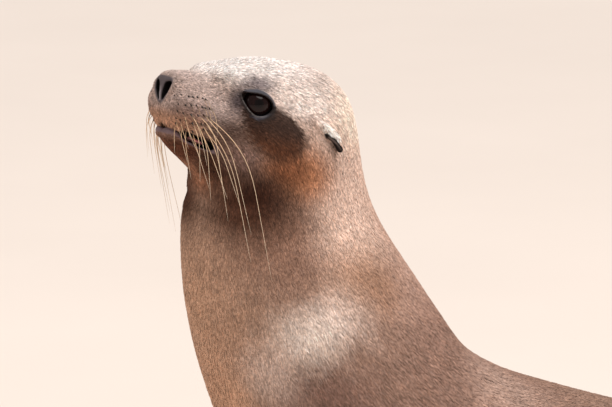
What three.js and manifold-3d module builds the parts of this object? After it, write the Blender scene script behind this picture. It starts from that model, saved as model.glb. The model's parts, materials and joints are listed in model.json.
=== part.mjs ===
// A still, life-size California sea lion, a young adult female, sitting upright on its fore
// flippers with its head raised and turned a little to its left. Millimetres, +Z up. It faces -Y,
// its left side is +X, and its flippers and belly rest on the floor.
import * as THREE from 'three';
import { mergeVertices } from 'three/addons/utils/BufferGeometryUtils.js';
import Module from 'manifold-3d';

const wasm = await Module();
wasm.setup();

// ---- Driving dimensions ---------------------------------------------------------------------

const GAP = 0.3; // clearance between neighbouring pieces
const EYE_HEIGHT = 690; // floor to the point midway between the eyes
const HEAD_PITCH = THREE.MathUtils.degToRad(12); // the head is tipped back
const HEAD_YAW = THREE.MathUtils.degToRad(11); // and turned to its left
const YAW_AXIS_BACK = 100; // the upright axis of that turn, behind the eyes

const AROUND = 32; // points round a slice of the body
const HEAD_STEPS = 26; // and slices along each of its pieces
const NECK_STEPS = 8;
const TRUNK_STEPS = 14;
const TAIL_STEPS = 3;

// Body slices from nose to tail. Each lies between a point on the top line and one on the bottom
// line, with its half width, the share of its height above the widest level, and how square it
// is (2 is an ellipse), above that level too where it differs. Head points are [forward, up]
// from the middle of the eyes, along the head.
const HEAD_SLICES = [
  { top: [109, -9], bottom: [108.5, -11], half: 1, level: 0.5, square: 2 }, // nose tip
  { top: [109, 8], bottom: [103.5, -29], half: 12, level: 0.48, square: 2.1 },
  { top: [107.5, 16], bottom: [98.5, -45], half: 20.5, level: 0.47, square: 2 },
  { top: [102, 20.5], bottom: [94, -58], half: 26.5, level: 0.47, square: 2, above: 2.2 },
  { top: [90, 24], bottom: [84, -66.5], half: 32.5, level: 0.49, square: 2.1, above: 2.2 }, // pads
  { top: [75, 26], bottom: [71, -74], half: 34.5, level: 0.52, square: 2.2, above: 2.2 },
  { top: [58, 29.5], bottom: [57.5, -81], half: 35.5, level: 0.54, square: 2.2, above: 2.3 },
  { top: [41, 36], bottom: [46.5, -87.5], half: 37, level: 0.54, square: 2.2, above: 2.6 }, // stop
  { top: [20, 42], bottom: [38, -93], half: 41, level: 0.53, square: 2.1, above: 2.7 }, // brow
  { top: [-2, 47], bottom: [33, -98], half: 47, level: 0.5, square: 2.1, above: 2.6 },
  { top: [-26, 51], bottom: [29.5, -103.5], half: 56, level: 0.49, square: 2.1, above: 2.4 },
  { top: [-53, 54], bottom: [26.5, -110], half: 65, level: 0.49, square: 2.1, above: 2.2 }, // crown
  { top: [-82, 54], bottom: [24, -117], half: 73, level: 0.5, square: 2.1 }, // ears
  { top: [-112, 50], bottom: [22.5, -125], half: 81, level: 0.5, square: 2.1 },
  { top: [-139, 38.5], bottom: [22, -134], half: 87, level: 0.5, square: 2.1 }, // nape
];
// Body points are [back, up] from the middle of the eyes, level with the floor.
const BODY_SLICES = [
  { top: [157, -10], bottom: [-50, -141], half: 92, level: 0.5, square: 2.1 },
  { top: [165, -44], bottom: [-51.5, -151], half: 96, level: 0.5, square: 2.1 },
  { top: [171, -82], bottom: [-52, -166], half: 99, level: 0.5, square: 2.05 },
  { top: [181, -121], bottom: [-51, -192], half: 105, level: 0.5, square: 2 }, // mid neck
  { top: [198, -160], bottom: [-45, -240], half: 116, level: 0.5, square: 2 },
  { top: [225, -201], bottom: [-29, -310], half: 129, level: 0.5, square: 2 },
  { top: [258, -251], bottom: [-5, -380], half: 144, level: 0.5, square: 2.05 }, // neck base
  { top: [303, -316], bottom: [30, -450], half: 157, level: 0.52, square: 2.1 }, // withers
  { top: [366, -357], bottom: [96, -530], half: 166, level: 0.54, square: 2.1 }, // shoulders
  { top: [445, -389], bottom: [205, -602], half: 171, level: 0.56, square: 2.1 },
  { top: [538, -421], bottom: [343, -660], half: 172, level: 0.58, square: 2.15 },
  { top: [655, -459], bottom: [512, -692], half: 165, level: 0.6, square: 2.2 }, // belly
  { top: [780, -502], bottom: [695, -696], half: 148, level: 0.6, square: 2.2 },
  { top: [888, -545], bottom: [850, -696], half: 121, level: 0.58, square: 2.2 }, // hips
  { top: [975, -592], bottom: [962, -692], half: 87, level: 0.55, square: 2.1 },
  { top: [1034, -632], bottom: [1030, -688], half: 46, level: 0.5, square: 2 }, // tail root
  { top: [1074, -656], bottom: [1072, -687], half: 22, level: 0.5, square: 2 },
  { top: [1110, -668], bottom: [1110, -686], half: 13, level: 0.5, square: 2 },
  { top: [1132, -676], bottom: [1132, -682], half: 4, level: 0.5, square: 2 }, // tail tip
];
const NECK_FROM = HEAD_SLICES.length; // slice numbers where the pieces part
const TRUNK_FROM = NECK_FROM + 6;
const TAIL_FROM = HEAD_SLICES.length + 14.7;
const TAIL_END = HEAD_SLICES.length + BODY_SLICES.length - 1;
const YAW_FADES_BY = TRUNK_FROM + 1;

// Swellings and hollows of the head: centre and spread as [forward, up, aside] from the middle
// of the eyes, and how far the skin is lifted there. Each is on both sides.
const HEAD_SWELLINGS = [
  { at: [78, -24, 34], spread: [18, 14, 16], lift: 4 }, // whisker pads
  { at: [94, -42, 20], spread: [9, 10, 10], lift: -4.5 }, // muzzle rounded low in front
  { at: [40, 33, 33], spread: [12, 10, 12], lift: 8 }, // brows
  { at: [14, 30, 44], spread: [14, 10, 12], lift: 4 }, // ridges over the eyes
  { at: [0, -26, 52], spread: [20, 11, 16], lift: 2.5 }, // cheekbones
  { at: [-60, -40, 72], spread: [34, 26, 24], lift: 4 }, // jaw muscles
  { at: [42, -4, 38], spread: [17, 12, 14], lift: -3 }, // hollow before the eye
  { at: [50, 34, 0], spread: [14, 14, 16], lift: -2.5 }, // stop
  { at: [72, -64, 26], spread: [24, 8, 12], lift: -4 }, // narrower lower lips
];

const EYE_RADIUS = 19;
const EYE_CENTRE = [-5, -1, 37]; // forward, up, aside

// Mouth: its lip lines in side view, [forward, up], and where the lower jaw ends behind
const UPPER_LIP = [
  [125, -34.5], [102, -36], [96, -38], [87, -40.5], [75, -44], [60, -48.5], [46, -53.5], [37, -60.5],
];
const LOWER_LIP = [
  [37, -61.5], [48, -61.5], [62, -59], [77, -54], [89, -49.5], [97, -46], [125, -44.5],
];
const JAW_END = [[26, -104], [20, -84], [29, -66]];
const TONGUE = { at: [57, -54.3, 0], radii: [15, 3, 21], tilt: -0.25 };
const NOSE = { half: 16, top: 17, waist: -2, bottom: -15, back: 95 };
const NOSTRIL = { at: [110, 1, 8.5], radii: [8, 8.5, 3.4] };
const EAR = {
  path: [[-58, -8, 73], [-76, -14, 83.5], [-89, -24, 89.5], [-99, -38, 91]],
  radius: 5, flat: 0.7, steps: 6,
  slit: { from: [-77, -25, 88], to: [-105, -47, 97], half: 5, deep: 1.3 },
};

// Flippers, left ones, [aside, back, up] with the floor at 0
const FLIPPER_STEPS = 13;
const FLIPPER_AROUND = 26;
const FORE_FLIPPER = {
  arm: [
    { at: [85, 205, 300], half: 60, thick: 70, edge: [0, -1, 0] }, // inside the shoulder
    { at: [128, 207, 215], half: 68, thick: 76, edge: [0, -1, 0] }, // elbow
    { at: [158, 200, 135], half: 65, thick: 60, edge: [0.15, -1, 0] }, // forearm
    { at: [180, 196, 68], half: 62, thick: 49, edge: [0.35, -1, 0] }, // wrist
  ],
  palm: { at: [224, 224, 19], half: 72, thick: 34, edge: [0.69, -0.72, 0] },
  tip: { run: [184, 184, -16], half: 50, thick: 7 },
  lobes: { lead: 45, trail: -85, scallop: 3 },
};
const HIND_FLIPPER = {
  arm: [
    { at: [30, 925, 55], half: 42, thick: 60, edge: [0, 1, 0] }, // inside the hip
    { at: [82, 985, 45], half: 45, thick: 50, edge: [0.6, 0.8, 0.15] }, // shank
    { at: [124, 986, 30], half: 43, thick: 42, edge: [1, 0.3, 0] }, // heel
  ],
  palm: { at: [148, 936, 17], half: 50, thick: 32, edge: [0.94, 0.33, 0] },
  tip: { run: [72, -208, -14], half: 70, thick: 6 },
  lobes: { lead: 34, trail: 22, scallop: 4 },
};
const DIGIT_GAPS = 4; // between the five digits of a blade
const CLAWS = { across: [-0.5, 0, 0.5], along: 0.8, length: 17, radius: 3 };

// ---- Solids: lofts through rings of points, joined and cut ----------------------------------

const v3 = (x, y, z) => new THREE.Vector3(x, y, z);

/** A closed geometry through rings of points; each end narrows to a fan or closes as a blade. */
function loft(rings, bladeEnd = false) {
  const around = rings[0].length;
  const points = rings.flat();
  const faces = [];
  for (let r = 0; r + 1 < rings.length; r++) {
    for (let i = 0; i < around; i++) {
      const a = r * around + i;
      const b = r * around + ((i + 1) % around);
      faces.push(a, b, a + around, b, b + around, a + around);
    }
  }
  const fan = (ring, start, turn) => {
    const centre = points.push(ring.reduce((sum, p) => sum.add(p), v3(0, 0, 0)).divideScalar(around));
    for (let i = 0; i < around; i++) {
      const pair = [start + i, start + ((i + 1) % around)];
      faces.push(centre - 1, ...(turn ? pair : pair.reverse()));
    }
  };
  const last = (rings.length - 1) * around;
  fan(rings[0], 0, false);
  if (bladeEnd) {
    for (let i = 0; i < around / 2; i++) {
      const mirror = [last + around - 1 - i, last + ((around - i) % around)];
      faces.push(last + i, last + i + 1, mirror[0], last + i, mirror[0], mirror[1]);
    }
  } else {
    fan(rings[rings.length - 1], last, true);
  }
  const geometry = new THREE.BufferGeometry().setFromPoints(points);
  geometry.setIndex(faces);
  return geometry;
}

/** The manifold-3d solid of a closed geometry. */
function solid(geometry) {
  const bare = new THREE.BufferGeometry();
  bare.setAttribute('position', geometry.getAttribute('position'));
  bare.setIndex(geometry.getIndex());
  const merged = mergeVertices(bare, 1e-4);
  return new wasm.Manifold(new wasm.Mesh({
    numProp: 3,
    vertProperties: new Float32Array(merged.getAttribute('position').array),
    triVerts: new Uint32Array(merged.getIndex().array),
  }));
}

/** The three.js geometry of a manifold-3d solid. */
function geometryOf(manifold) {
  const mesh = manifold.getMesh();
  const geometry = new THREE.BufferGeometry();
  geometry.setAttribute('position', new THREE.BufferAttribute(new Float32Array(mesh.vertProperties), 3));
  geometry.setIndex(new THREE.BufferAttribute(new Uint32Array(mesh.triVerts), 1));
  geometry.computeVertexNormals();
  return geometry;
}

const spline = (points) => new THREE.CatmullRomCurve3(points, false, 'centripetal');

// ---- The body as one tube from nose to tail ---------------------------------------------------

/** Head-local [forward, up] to body [back, up], both from the middle of the eyes. */
function tipped([forward, up]) {
  const c = Math.cos(HEAD_PITCH);
  const s = Math.sin(HEAD_PITCH);
  return [-forward * c + up * s, forward * s + up * c];
}

const slices = [
  ...HEAD_SLICES.map((s) => ({ ...s, top: tipped(s.top), bottom: tipped(s.bottom) })),
  ...BODY_SLICES,
];
const topLine = spline(slices.map((s) => v3(0, ...s.top)));
const bottomLine = spline(slices.map((s) => v3(0, ...s.bottom)));
const widths = spline(slices.map((s, i) => v3(s.half, 10 * i, 0)));
const shapes = spline(slices.map((s, i) => v3(s.level, 10 * i, 0)));
const squares = spline(slices.map((s, i) => v3(s.square, s.above ?? s.square, 10 * i)));

/** The upright turn at slice number t: whole over the head, fading down the neck. */
function yawAt(t) {
  return HEAD_YAW * (1 - THREE.MathUtils.smoothstep(t, NECK_FROM - 3, YAW_FADES_BY));
}

/** Turns a point about the neck's upright axis and stands it at its height above the floor. */
function place(point, yaw) {
  point.y -= YAW_AXIS_BACK;
  point.applyAxisAngle(v3(0, 0, 1), yaw);
  point.y += YAW_AXIS_BACK;
  point.z += EYE_HEIGHT;
  return point;
}

/** A head-local point [forward, up, aside] in the model's frame. */
function headPoint([forward, up, aside]) {
  return place(v3(aside, ...tipped([forward, up])), HEAD_YAW);
}

/** How far the swellings lift a head-local point. */
function swelling(forward, up, aside) {
  let lift = 0;
  for (const { at, spread, lift: most } of HEAD_SWELLINGS) {
    const f = (forward - at[0]) / spread[0];
    const u = (up - at[1]) / spread[1];
    const a = (Math.abs(aside) - at[2]) / spread[2];
    lift += most * Math.exp(-(f * f + u * u + a * a) / 2);
  }
  return lift;
}

/** One ring of the body at slice number t, grown outwards by a margin. */
function bodyRing(t, grow = 0) {
  const u = t / (slices.length - 1);
  const top = topLine.getPoint(u);
  const bottom = bottomLine.getPoint(u);
  const half = widths.getPoint(u).x;
  const level = shapes.getPoint(u).x;
  const { x: below, y: above } = squares.getPoint(u);
  const height = top.distanceTo(bottom);
  const upward = top.clone().sub(bottom).normalize();
  const centre = top.clone().addScaledVector(upward, -height * level);
  const bend = (value, square) => Math.sign(value) * Math.abs(value) ** (2 / square);
  const ring = [];
  for (let i = 0; i < AROUND; i++) {
    const angle = (2 * Math.PI * i) / AROUND;
    const square = Math.cos(angle) > 0 ? above : below;
    const rise = bend(Math.cos(angle), square);
    const offset = v3(half * bend(Math.sin(angle), square), 0, 0);
    offset.addScaledVector(upward, height * rise * (rise > 0 ? level : 1 - level));
    const point = centre.clone().add(offset);
    const forward = -point.y * Math.cos(HEAD_PITCH) + point.z * Math.sin(HEAD_PITCH);
    const up = point.y * Math.sin(HEAD_PITCH) + point.z * Math.cos(HEAD_PITCH);
    const lift = t < NECK_FROM + 1 ? swelling(forward, up, point.x) : 0;
    point.addScaledVector(offset.normalize(), lift + grow);
    ring.push(place(point, yawAt(t)));
  }
  return ring;
}

/** The body between two slice numbers; its first end stands the gap clear of the piece before. */
function bodyPiece(from, to, steps, grow = 0) {
  const rings = [];
  for (let i = 0; i <= steps; i++) rings.push(bodyRing(from + ((to - from) * i) / steps, grow));
  if (from > 0) {
    const [top, side, bottom] = [0, AROUND / 4, AROUND / 2].map((i) => rings[0][i]);
    const normal = side.clone().sub(top).cross(bottom.clone().sub(top)).normalize();
    if (normal.dot(rings[1][0].clone().sub(top)) < 0) normal.negate();
    rings[0].forEach((point) => point.addScaledVector(normal, GAP));
  }
  return solid(loft(rings));
}

/** Removes what lies below the floor. */
function onFloor(manifold) {
  const below = new THREE.BoxGeometry(4000, 4000, 400).translate(0, 0, -200);
  return manifold.subtract(solid(below));
}

// ---- The head and what it carries ---------------------------------------------------------------

/** Extrudes a head-local side-view outline [forward, up] right across the head. */
function acrossHead(outline) {
  const half = 200;
  const shape = new THREE.Shape(outline.map(([forward, up]) => new THREE.Vector2(-forward, up)));
  const geometry = new THREE.ExtrudeGeometry(shape, { depth: 2 * half, bevelEnabled: false });
  // Turned so that the outline's x runs backward and its depth aside.
  return inHead(geometry.translate(0, 0, -half).rotateY(Math.PI / 2));
}

/** A geometry with its position only. */
function stripped(geometry) {
  const bare = new THREE.BufferGeometry();
  bare.setAttribute('position', geometry.getAttribute('position'));
  bare.setIndex(geometry.getIndex());
  return bare;
}

/**
 * Sets a geometry modelled as x aside, y up, z forward of the middle of the eyes in the head,
 * on its left as modelled or mirrored to its right.
 */
function inHead(geometry, sign = 1) {
  const bare = mergeVertices(stripped(geometry), 1e-4);
  const set = sign > 0 ? bare : flipped(bare);
  const position = set.getAttribute('position');
  for (let i = 0; i < position.count; i++) {
    const point = headPoint([position.getZ(i), position.getY(i), sign * position.getX(i)]);
    position.setXYZ(i, point.x, point.y, point.z);
  }
  return solid(set);
}

/** A head-local [forward, up, aside] as a point for inHead. */
const local = ([forward, up, aside]) => v3(aside, up, forward);

/** An ellipsoid for inHead; radii are [forward, up, aside]. */
function ellipsoid(at, radii, segments) {
  return new THREE.SphereGeometry(1, ...segments)
    .scale(...local(radii)).translate(...local(at));
}

/** The same geometry with its faces turned over. */
function flipped(geometry) {
  const index = geometry.getIndex().array.slice();
  for (let i = 0; i < index.length; i += 3) [index[i], index[i + 1]] = [index[i + 1], index[i]];
  const turned = stripped(geometry);
  turned.setIndex(new THREE.BufferAttribute(index, 1));
  return turned;
}

function eyeball(sign, grow) {
  const radius = EYE_RADIUS + grow;
  return inHead(ellipsoid(EYE_CENTRE, [radius, radius, radius], [14, 9]), sign);
}

const SIDES = [['left', 1], ['right', -1]];

/** The mouth slot: open lips in front, a thin parting behind them down to the throat. */
function mouthSlot() {
  return acrossHead([...UPPER_LIP, ...LOWER_LIP]);
}

/** A flat tongue lying along the parted lips. */
function tongue() {
  return new THREE.SphereGeometry(1, 12, 6).scale(...local(TONGUE.radii))
    .rotateX(TONGUE.tilt).translate(...local(TONGUE.at));
}

/** The side-view region below the mouth that belongs to the lower jaw. */
function jawRegion(grow) {
  const end = JAW_END.map(([forward, up]) => [forward - grow, up]);
  const lip = LOWER_LIP.map(([forward, up]) => [forward, up + grow]);
  return acrossHead([...end, ...lip, [125, -104]]);
}

/** A rounded block at the muzzle's front whose skin is the bare nose. */
function noseRegion(grow) {
  const outline = new THREE.Shape();
  const [wide, top, low] = [NOSE.half + grow, NOSE.top + grow, NOSE.bottom - grow];
  outline.moveTo(0, low);
  outline.bezierCurveTo(wide * 0.35, low, wide * 0.5, low + 6, wide * 0.8, NOSE.waist);
  outline.bezierCurveTo(wide * 1.15, top - 6, wide * 0.9, top, 0, top);
  outline.bezierCurveTo(-wide * 0.9, top, -wide * 1.15, top - 6, -wide * 0.8, NOSE.waist);
  outline.bezierCurveTo(-wide * 0.5, low + 6, -wide * 0.35, low, 0, low);
  const block = { depth: 60, bevelEnabled: false, curveSegments: 4 };
  return inHead(new THREE.ExtrudeGeometry(outline, block).translate(0, 0, NOSE.back - grow));
}

/** A left ear: a small rolled leaf that points back and down, slit along its underside. */
function ear() {
  const path = spline(EAR.path.map(local));
  const rings = [];
  for (let i = 0; i <= EAR.steps; i++) {
    const t = i / EAR.steps;
    const radius = EAR.radius * Math.sqrt(1 - t ** 4) * (0.75 + 0.5 * t) + 0.5;
    rings.push(oval(path, t, radius * EAR.flat, radius, 10));
  }
  return loft(rings);
}

/** The slit of a left ear. */
function earSlit() {
  const path = spline([EAR.slit.from, EAR.slit.to].map(local));
  return loft([0, 1].map((t) => oval(path, t, EAR.slit.half, EAR.slit.deep, 8)));
}

// ---- Flippers ------------------------------------------------------------------------------------

/** An oval ring of points across a path; its first radius lies level. */
function oval(path, t, level, upright, around) {
  const at = path.getPoint(t);
  const along = path.getTangent(t);
  const side = v3(0, 0, 1).cross(along).normalize();
  const up = along.clone().cross(side);
  return Array.from({ length: around }, (_, i) => {
    const angle = (2 * Math.PI * i) / around;
    return at.clone().addScaledVector(side, level * Math.cos(angle))
      .addScaledVector(up, upright * Math.sin(angle));
  });
}

/**
 * The splines of a left flipper: an arm that comes down out of the body, then a flat blade of
 * five digits that runs from the palm to the tips.
 */
function flipperLines({ arm, palm, tip }) {
  const end = { at: palm.at.map((v, i) => v + tip.run[i]), half: tip.half, thick: tip.thick };
  const stations = [...arm, palm, { ...end, edge: palm.edge }];
  return {
    path: spline(stations.map(({ at }) => v3(...at))),
    sizes: spline(stations.map(({ half, thick }) => v3(half, thick, 0))),
    edges: spline(stations.map(({ edge }) => v3(...edge))),
    run: v3(...tip.run).normalize(),
    bladeFrom: arm.length / (arm.length + 1),
  };
}

/** How far a blade runs beyond its middle line at a place across it, scalloped by its digits. */
function tipReach(across, { lead, trail, scallop }) {
  const sweep = (across > 0 ? lead : trail) * Math.abs(across) ** 1.5;
  return sweep + scallop * Math.cos(Math.PI * DIGIT_GAPS * (across + 1));
}

/** A point on a flipper: t runs from root to tips, the angle round it from its leading edge. */
function flipperPoint(lines, lobes, t, angle, grow = 0) {
  const onBlade = Math.max((t - lines.bladeFrom) / (1 - lines.bladeFrom), 0);
  const along = lines.path.getTangent(t);
  const edge = lines.edges.getPoint(t);
  edge.addScaledVector(along, -edge.dot(along)).normalize();
  const over = along.clone().cross(edge).normalize();
  const { x: half, y: thick } = lines.sizes.getPoint(t);
  const across = Math.cos(angle);
  const ridge = 1 + 0.14 * onBlade * Math.cos(Math.PI * DIGIT_GAPS * (across + 1));
  const deep = (thick / 2) * (1 + 0.3 * across) * ridge + grow;
  return lines.path.getPoint(t).addScaledVector(edge, half * across)
    .addScaledVector(over, deep * Math.sin(angle))
    .addScaledVector(lines.run, onBlade ** 2 * tipReach(across, lobes));
}

/** A left flipper's rings, closed along its thin tip edge. */
function flipper(sizes, grow = 0) {
  const lines = flipperLines(sizes);
  const rings = Array.from({ length: FLIPPER_STEPS + 1 }, (_, i) => {
    return Array.from({ length: FLIPPER_AROUND }, (_, k) => {
      const angle = (2 * Math.PI * k) / FLIPPER_AROUND;
      return flipperPoint(lines, sizes.lobes, i / FLIPPER_STEPS, angle, grow);
    });
  });
  return loft(rings, true);
}

/** A slim nail lying on a digit of the left hind flipper. */
function claw(across) {
  const lines = flipperLines(HIND_FLIPPER);
  const root = flipperPoint(lines, HIND_FLIPPER.lobes, CLAWS.along, Math.acos(across));
  const { length, radius } = CLAWS;
  const middle = root.clone().addScaledVector(lines.run, length / 2);
  middle.z += radius / 3;
  const path = spline([root, middle, root.clone().addScaledVector(lines.run, length)]);
  const size = (t) => radius * (1.05 - 0.8 * t);
  return loft([0, 0.5, 1].map((t) => oval(path, t, size(t), size(t), 6)));
}

/** The same geometry on the other side of the body. */
function mirrored(geometry) {
  return flipped(geometry.clone().scale(-1, 1, 1));
}

const parts = {};

/** Adds a piece for each side; the maker is given 1 for the left and -1 for the right. */
function pair(name, make) {
  for (const [side, sign] of SIDES) parts[`${name}_${side}`] = make(sign);
}

const onSide = (geometry, sign) => solid(sign > 0 ? geometry : mirrored(geometry));

const wholeHead = bodyPiece(0, NECK_FROM, HEAD_STEPS);
parts.neck = bodyPiece(NECK_FROM, TRUNK_FROM, NECK_STEPS);
parts.trunk = onFloor(bodyPiece(TRUNK_FROM, TAIL_FROM, TRUNK_STEPS));
parts.tail = onFloor(bodyPiece(TAIL_FROM, TAIL_END, TAIL_STEPS));

parts.nose_pad = wholeHead.intersect(noseRegion(0));
parts.head = wholeHead.subtract(noseRegion(GAP)).subtract(mouthSlot()).subtract(jawRegion(GAP));
parts.lower_jaw = wholeHead.intersect(jawRegion(0)).subtract(mouthSlot());
parts.tongue = inHead(tongue());

pair('eye', (sign) => eyeball(sign, 0));
for (const [, sign] of SIDES) {
  const nostril = ellipsoid(NOSTRIL.at, NOSTRIL.radii, [10, 7]);
  parts.nose_pad = parts.nose_pad.subtract(inHead(nostril, sign));
  parts.head = parts.head.subtract(eyeball(sign, GAP));
}

// Limbs and ears stop a gap short of this slightly swollen body.
const bodyCore = bodyPiece(0, NECK_FROM, HEAD_STEPS, GAP)
  .add(bodyPiece(NECK_FROM, TRUNK_FROM, NECK_STEPS, GAP))
  .add(bodyPiece(TRUNK_FROM, TAIL_FROM, TRUNK_STEPS, GAP))
  .add(bodyPiece(TAIL_FROM, TAIL_END, TAIL_STEPS, GAP));
pair('ear', (sign) => inHead(ear(), sign).subtract(inHead(earSlit(), sign)).subtract(bodyCore));
const onFlank = (geometry, sign) => onFloor(onSide(geometry, sign).subtract(bodyCore));
pair('fore_flipper', (sign) => onFlank(flipper(FORE_FLIPPER), sign));
pair('hind_flipper', (sign) => onFlank(flipper(HIND_FLIPPER), sign));
CLAWS.across.forEach((across, i) => {
  pair(`claw_${i + 1}`, (sign) => {
    return onSide(claw(across), sign).subtract(onSide(flipper(HIND_FLIPPER, GAP), sign));
  });
});

// ---- The model --------------------------------------------------------------------------------

const FUR = { color: 0x96735f, roughness: 0.85 };
const BARE_SKIN = { color: 0x3b3634, roughness: 0.6 };
const FINISHES = {
  eye: { color: 0x1c100c, roughness: 0.05 },
  nose_pad: { color: 0x34333a, roughness: 0.45 },
  tongue: { color: 0xb4636a, roughness: 0.4 },
  claw: { color: 0x4a3d33, roughness: 0.5 },
  fore_flipper: BARE_SKIN,
  hind_flipper: BARE_SKIN,
};

/** The finish whose name the piece's own name starts with, or fur. */
function finishOf(name) {
  const kind = Object.keys(FINISHES).find((start) => name.startsWith(start));
  return kind ? FINISHES[kind] : FUR;
}

const model = new THREE.Group();
for (const [name, manifold] of Object.entries(parts)) {
  const mesh = new THREE.Mesh(geometryOf(manifold), new THREE.MeshStandardMaterial(finishOf(name)));
  mesh.name = name;
  model.add(mesh);
}

// The origin is the middle of the model's footprint, on the floor.
const middle = new THREE.Box3().setFromObject(model).getCenter(v3(0, 0, 0));
model.position.set(-middle.x, -middle.y, 0);

export default model;
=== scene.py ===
"""A still, life-size sea lion, upright on its fore flippers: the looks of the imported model.

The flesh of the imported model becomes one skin. Its nodes are joined in a distance field on a
grid that is fine at the face, the folds, lids and nostrils are shaped in that field, and the
skin is drawn from it. A coat of short flat tufts lies over the skin. Lengths in this script
are in millimetres, in the row frame, until a mesh is made.
"""

import json
import math

import bpy
import numpy as np
import openvdb as vdb
from mathutils import Matrix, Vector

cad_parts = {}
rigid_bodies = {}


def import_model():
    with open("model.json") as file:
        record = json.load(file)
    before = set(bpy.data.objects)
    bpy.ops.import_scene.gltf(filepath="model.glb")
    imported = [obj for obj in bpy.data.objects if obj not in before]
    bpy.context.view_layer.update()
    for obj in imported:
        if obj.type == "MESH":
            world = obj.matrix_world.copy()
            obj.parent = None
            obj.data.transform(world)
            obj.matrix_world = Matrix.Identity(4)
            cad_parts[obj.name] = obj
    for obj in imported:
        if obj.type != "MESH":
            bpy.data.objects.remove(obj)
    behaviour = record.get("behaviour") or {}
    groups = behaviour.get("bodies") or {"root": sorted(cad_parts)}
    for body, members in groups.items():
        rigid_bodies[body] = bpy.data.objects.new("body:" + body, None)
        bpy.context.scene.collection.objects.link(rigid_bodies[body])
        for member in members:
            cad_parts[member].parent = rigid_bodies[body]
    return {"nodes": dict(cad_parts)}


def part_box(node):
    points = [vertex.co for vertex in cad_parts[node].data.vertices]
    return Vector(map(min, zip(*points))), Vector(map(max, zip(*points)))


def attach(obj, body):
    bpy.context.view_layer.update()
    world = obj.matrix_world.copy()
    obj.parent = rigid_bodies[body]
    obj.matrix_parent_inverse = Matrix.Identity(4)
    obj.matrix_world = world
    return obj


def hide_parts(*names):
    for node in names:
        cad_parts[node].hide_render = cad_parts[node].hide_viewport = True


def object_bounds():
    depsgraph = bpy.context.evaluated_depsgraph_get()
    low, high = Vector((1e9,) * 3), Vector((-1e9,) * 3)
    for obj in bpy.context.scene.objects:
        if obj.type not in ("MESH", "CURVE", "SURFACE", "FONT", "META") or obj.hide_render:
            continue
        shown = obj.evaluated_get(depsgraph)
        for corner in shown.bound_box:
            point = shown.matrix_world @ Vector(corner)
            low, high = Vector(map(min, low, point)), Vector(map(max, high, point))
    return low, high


# ---- Sizes ---------------------------------------------------------------------------------------

MM = 0.001  # one of this script's millimetres, in Blender's metres
HEAD_PITCH = math.radians(12)
HEAD_YAW = math.radians(11)
EYE_RADIUS = 19.0
EYE_AHEAD = (-5.0, -1.0)  # the eye centres, forward and up of the head's own zero

HEAD_NODES = ("head", "lower_jaw", "nose_pad", "ear_left", "ear_right")
BODY_NODES = ("head", "lower_jaw", "nose_pad", "neck", "trunk", "tail")
FLIPPERS = ("fore_flipper_left", "fore_flipper_right", "hind_flipper_left", "hind_flipper_right")
LIMBS = FLIPPERS + ("tail",)
EYES = {1: "eye_left", -1: "eye_right"}
CLAWS = tuple(f"claw_{n}_{side}" for n in (1, 2, 3) for side in ("left", "right"))

FACET_ROUNDS = 2  # times that the solids' facets are rounded off
SHARP_EDGE = math.radians(40)
# Of each distance field: its step, the cracks it closes, how far it reaches and its blur
BODY_GRID = (5.0, 5.0, 30.0, 7.5)
HEAD_GRID = (1.4, 1.6, 9.0, 1.2)
HEAD_SHUT = (2.5, 6.0, 20.0, 1.5)  # with the mouth and nostrils closed
LIMB_GRID = (2.0, 0.6, 24.0, 1.2)
LIMB_MELT = 22.0  # how broadly a flipper or the tail flows into the body
HEAD_FROM = {"behind": -350.0, "below": 545.0, "fade": 60.0}  # where the fine field takes over

GRID_COARSE, GRID_GROWTH = 6.0, 0.07
GRID_MARGIN = 18.0
GRID_END, LATTICE_END = 1.001, 1.0001  # how far short of its end a grid is read
GRID_FINE = {  # stretches of each axis with fine lines: from, to, step
    "x": ((-42, 98, 1.35),),
    "y": ((-624, -405, 1.35),),
    "z": ((640, 738, 1.35), (570, 640, 2.2), (-6, 40, 3.0)),
}
INSET = {"face": 0.7, "body": 2.0}  # how deep the skin lies in the solids

# ---- The frame and the head's own axes -----------------------------------------------------------

for leftover in list(bpy.data.objects):
    bpy.data.objects.remove(leftover)
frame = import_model()
cad_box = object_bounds()
nodes = frame["nodes"]


def head_axes():
    """The head's own forward, up and aside, in the row frame."""
    sin_pitch, cos_pitch = math.sin(HEAD_PITCH), math.cos(HEAD_PITCH)
    sin_yaw, cos_yaw = math.sin(HEAD_YAW), math.cos(HEAD_YAW)
    return np.array([
        (sin_yaw * cos_pitch, -cos_yaw * cos_pitch, sin_pitch),
        (-sin_yaw * sin_pitch, cos_yaw * sin_pitch, cos_pitch),
        (cos_yaw, sin_yaw, 0.0),
    ])


AXES = head_axes()
FORWARD, UP, ASIDE = AXES


def middle_of(node):
    lo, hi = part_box(node)
    return (np.array(lo) + np.array(hi)) / 2 / MM


EYE_AT = {side: middle_of(name) for side, name in EYES.items()}
HEAD_ZERO = (EYE_AT[1] + EYE_AT[-1]) / 2 - EYE_AHEAD[0] * FORWARD - EYE_AHEAD[1] * UP


def head_to_row(places):
    """Places given as [forward, up, aside] on the head, in the row frame."""
    return np.asarray(places, float) @ AXES + HEAD_ZERO


def row_to_head(places):
    return (places - HEAD_ZERO) @ AXES.T


def folded_head(places):
    """Places on the head, those of its right side folded over to the left."""
    head = row_to_head(places)
    return np.abs(head) * (0, 0, 1) + head * (1, 1, 0)


def smooth_step(low, high, x):
    t = np.clip((x - low) / (high - low), 0, 1)
    return t * t * (3 - 2 * t)


def fading(low, high, x):
    """1 before a span and 0 after it."""
    return 1 - smooth_step(low, high, x)


def dot(a, b):
    return np.sum(a * b, -1, keepdims=True)


def unit(v):
    v = np.asarray(v, float)
    return v / np.maximum(np.linalg.norm(v, axis=-1, keepdims=True), 1e-9)


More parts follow.
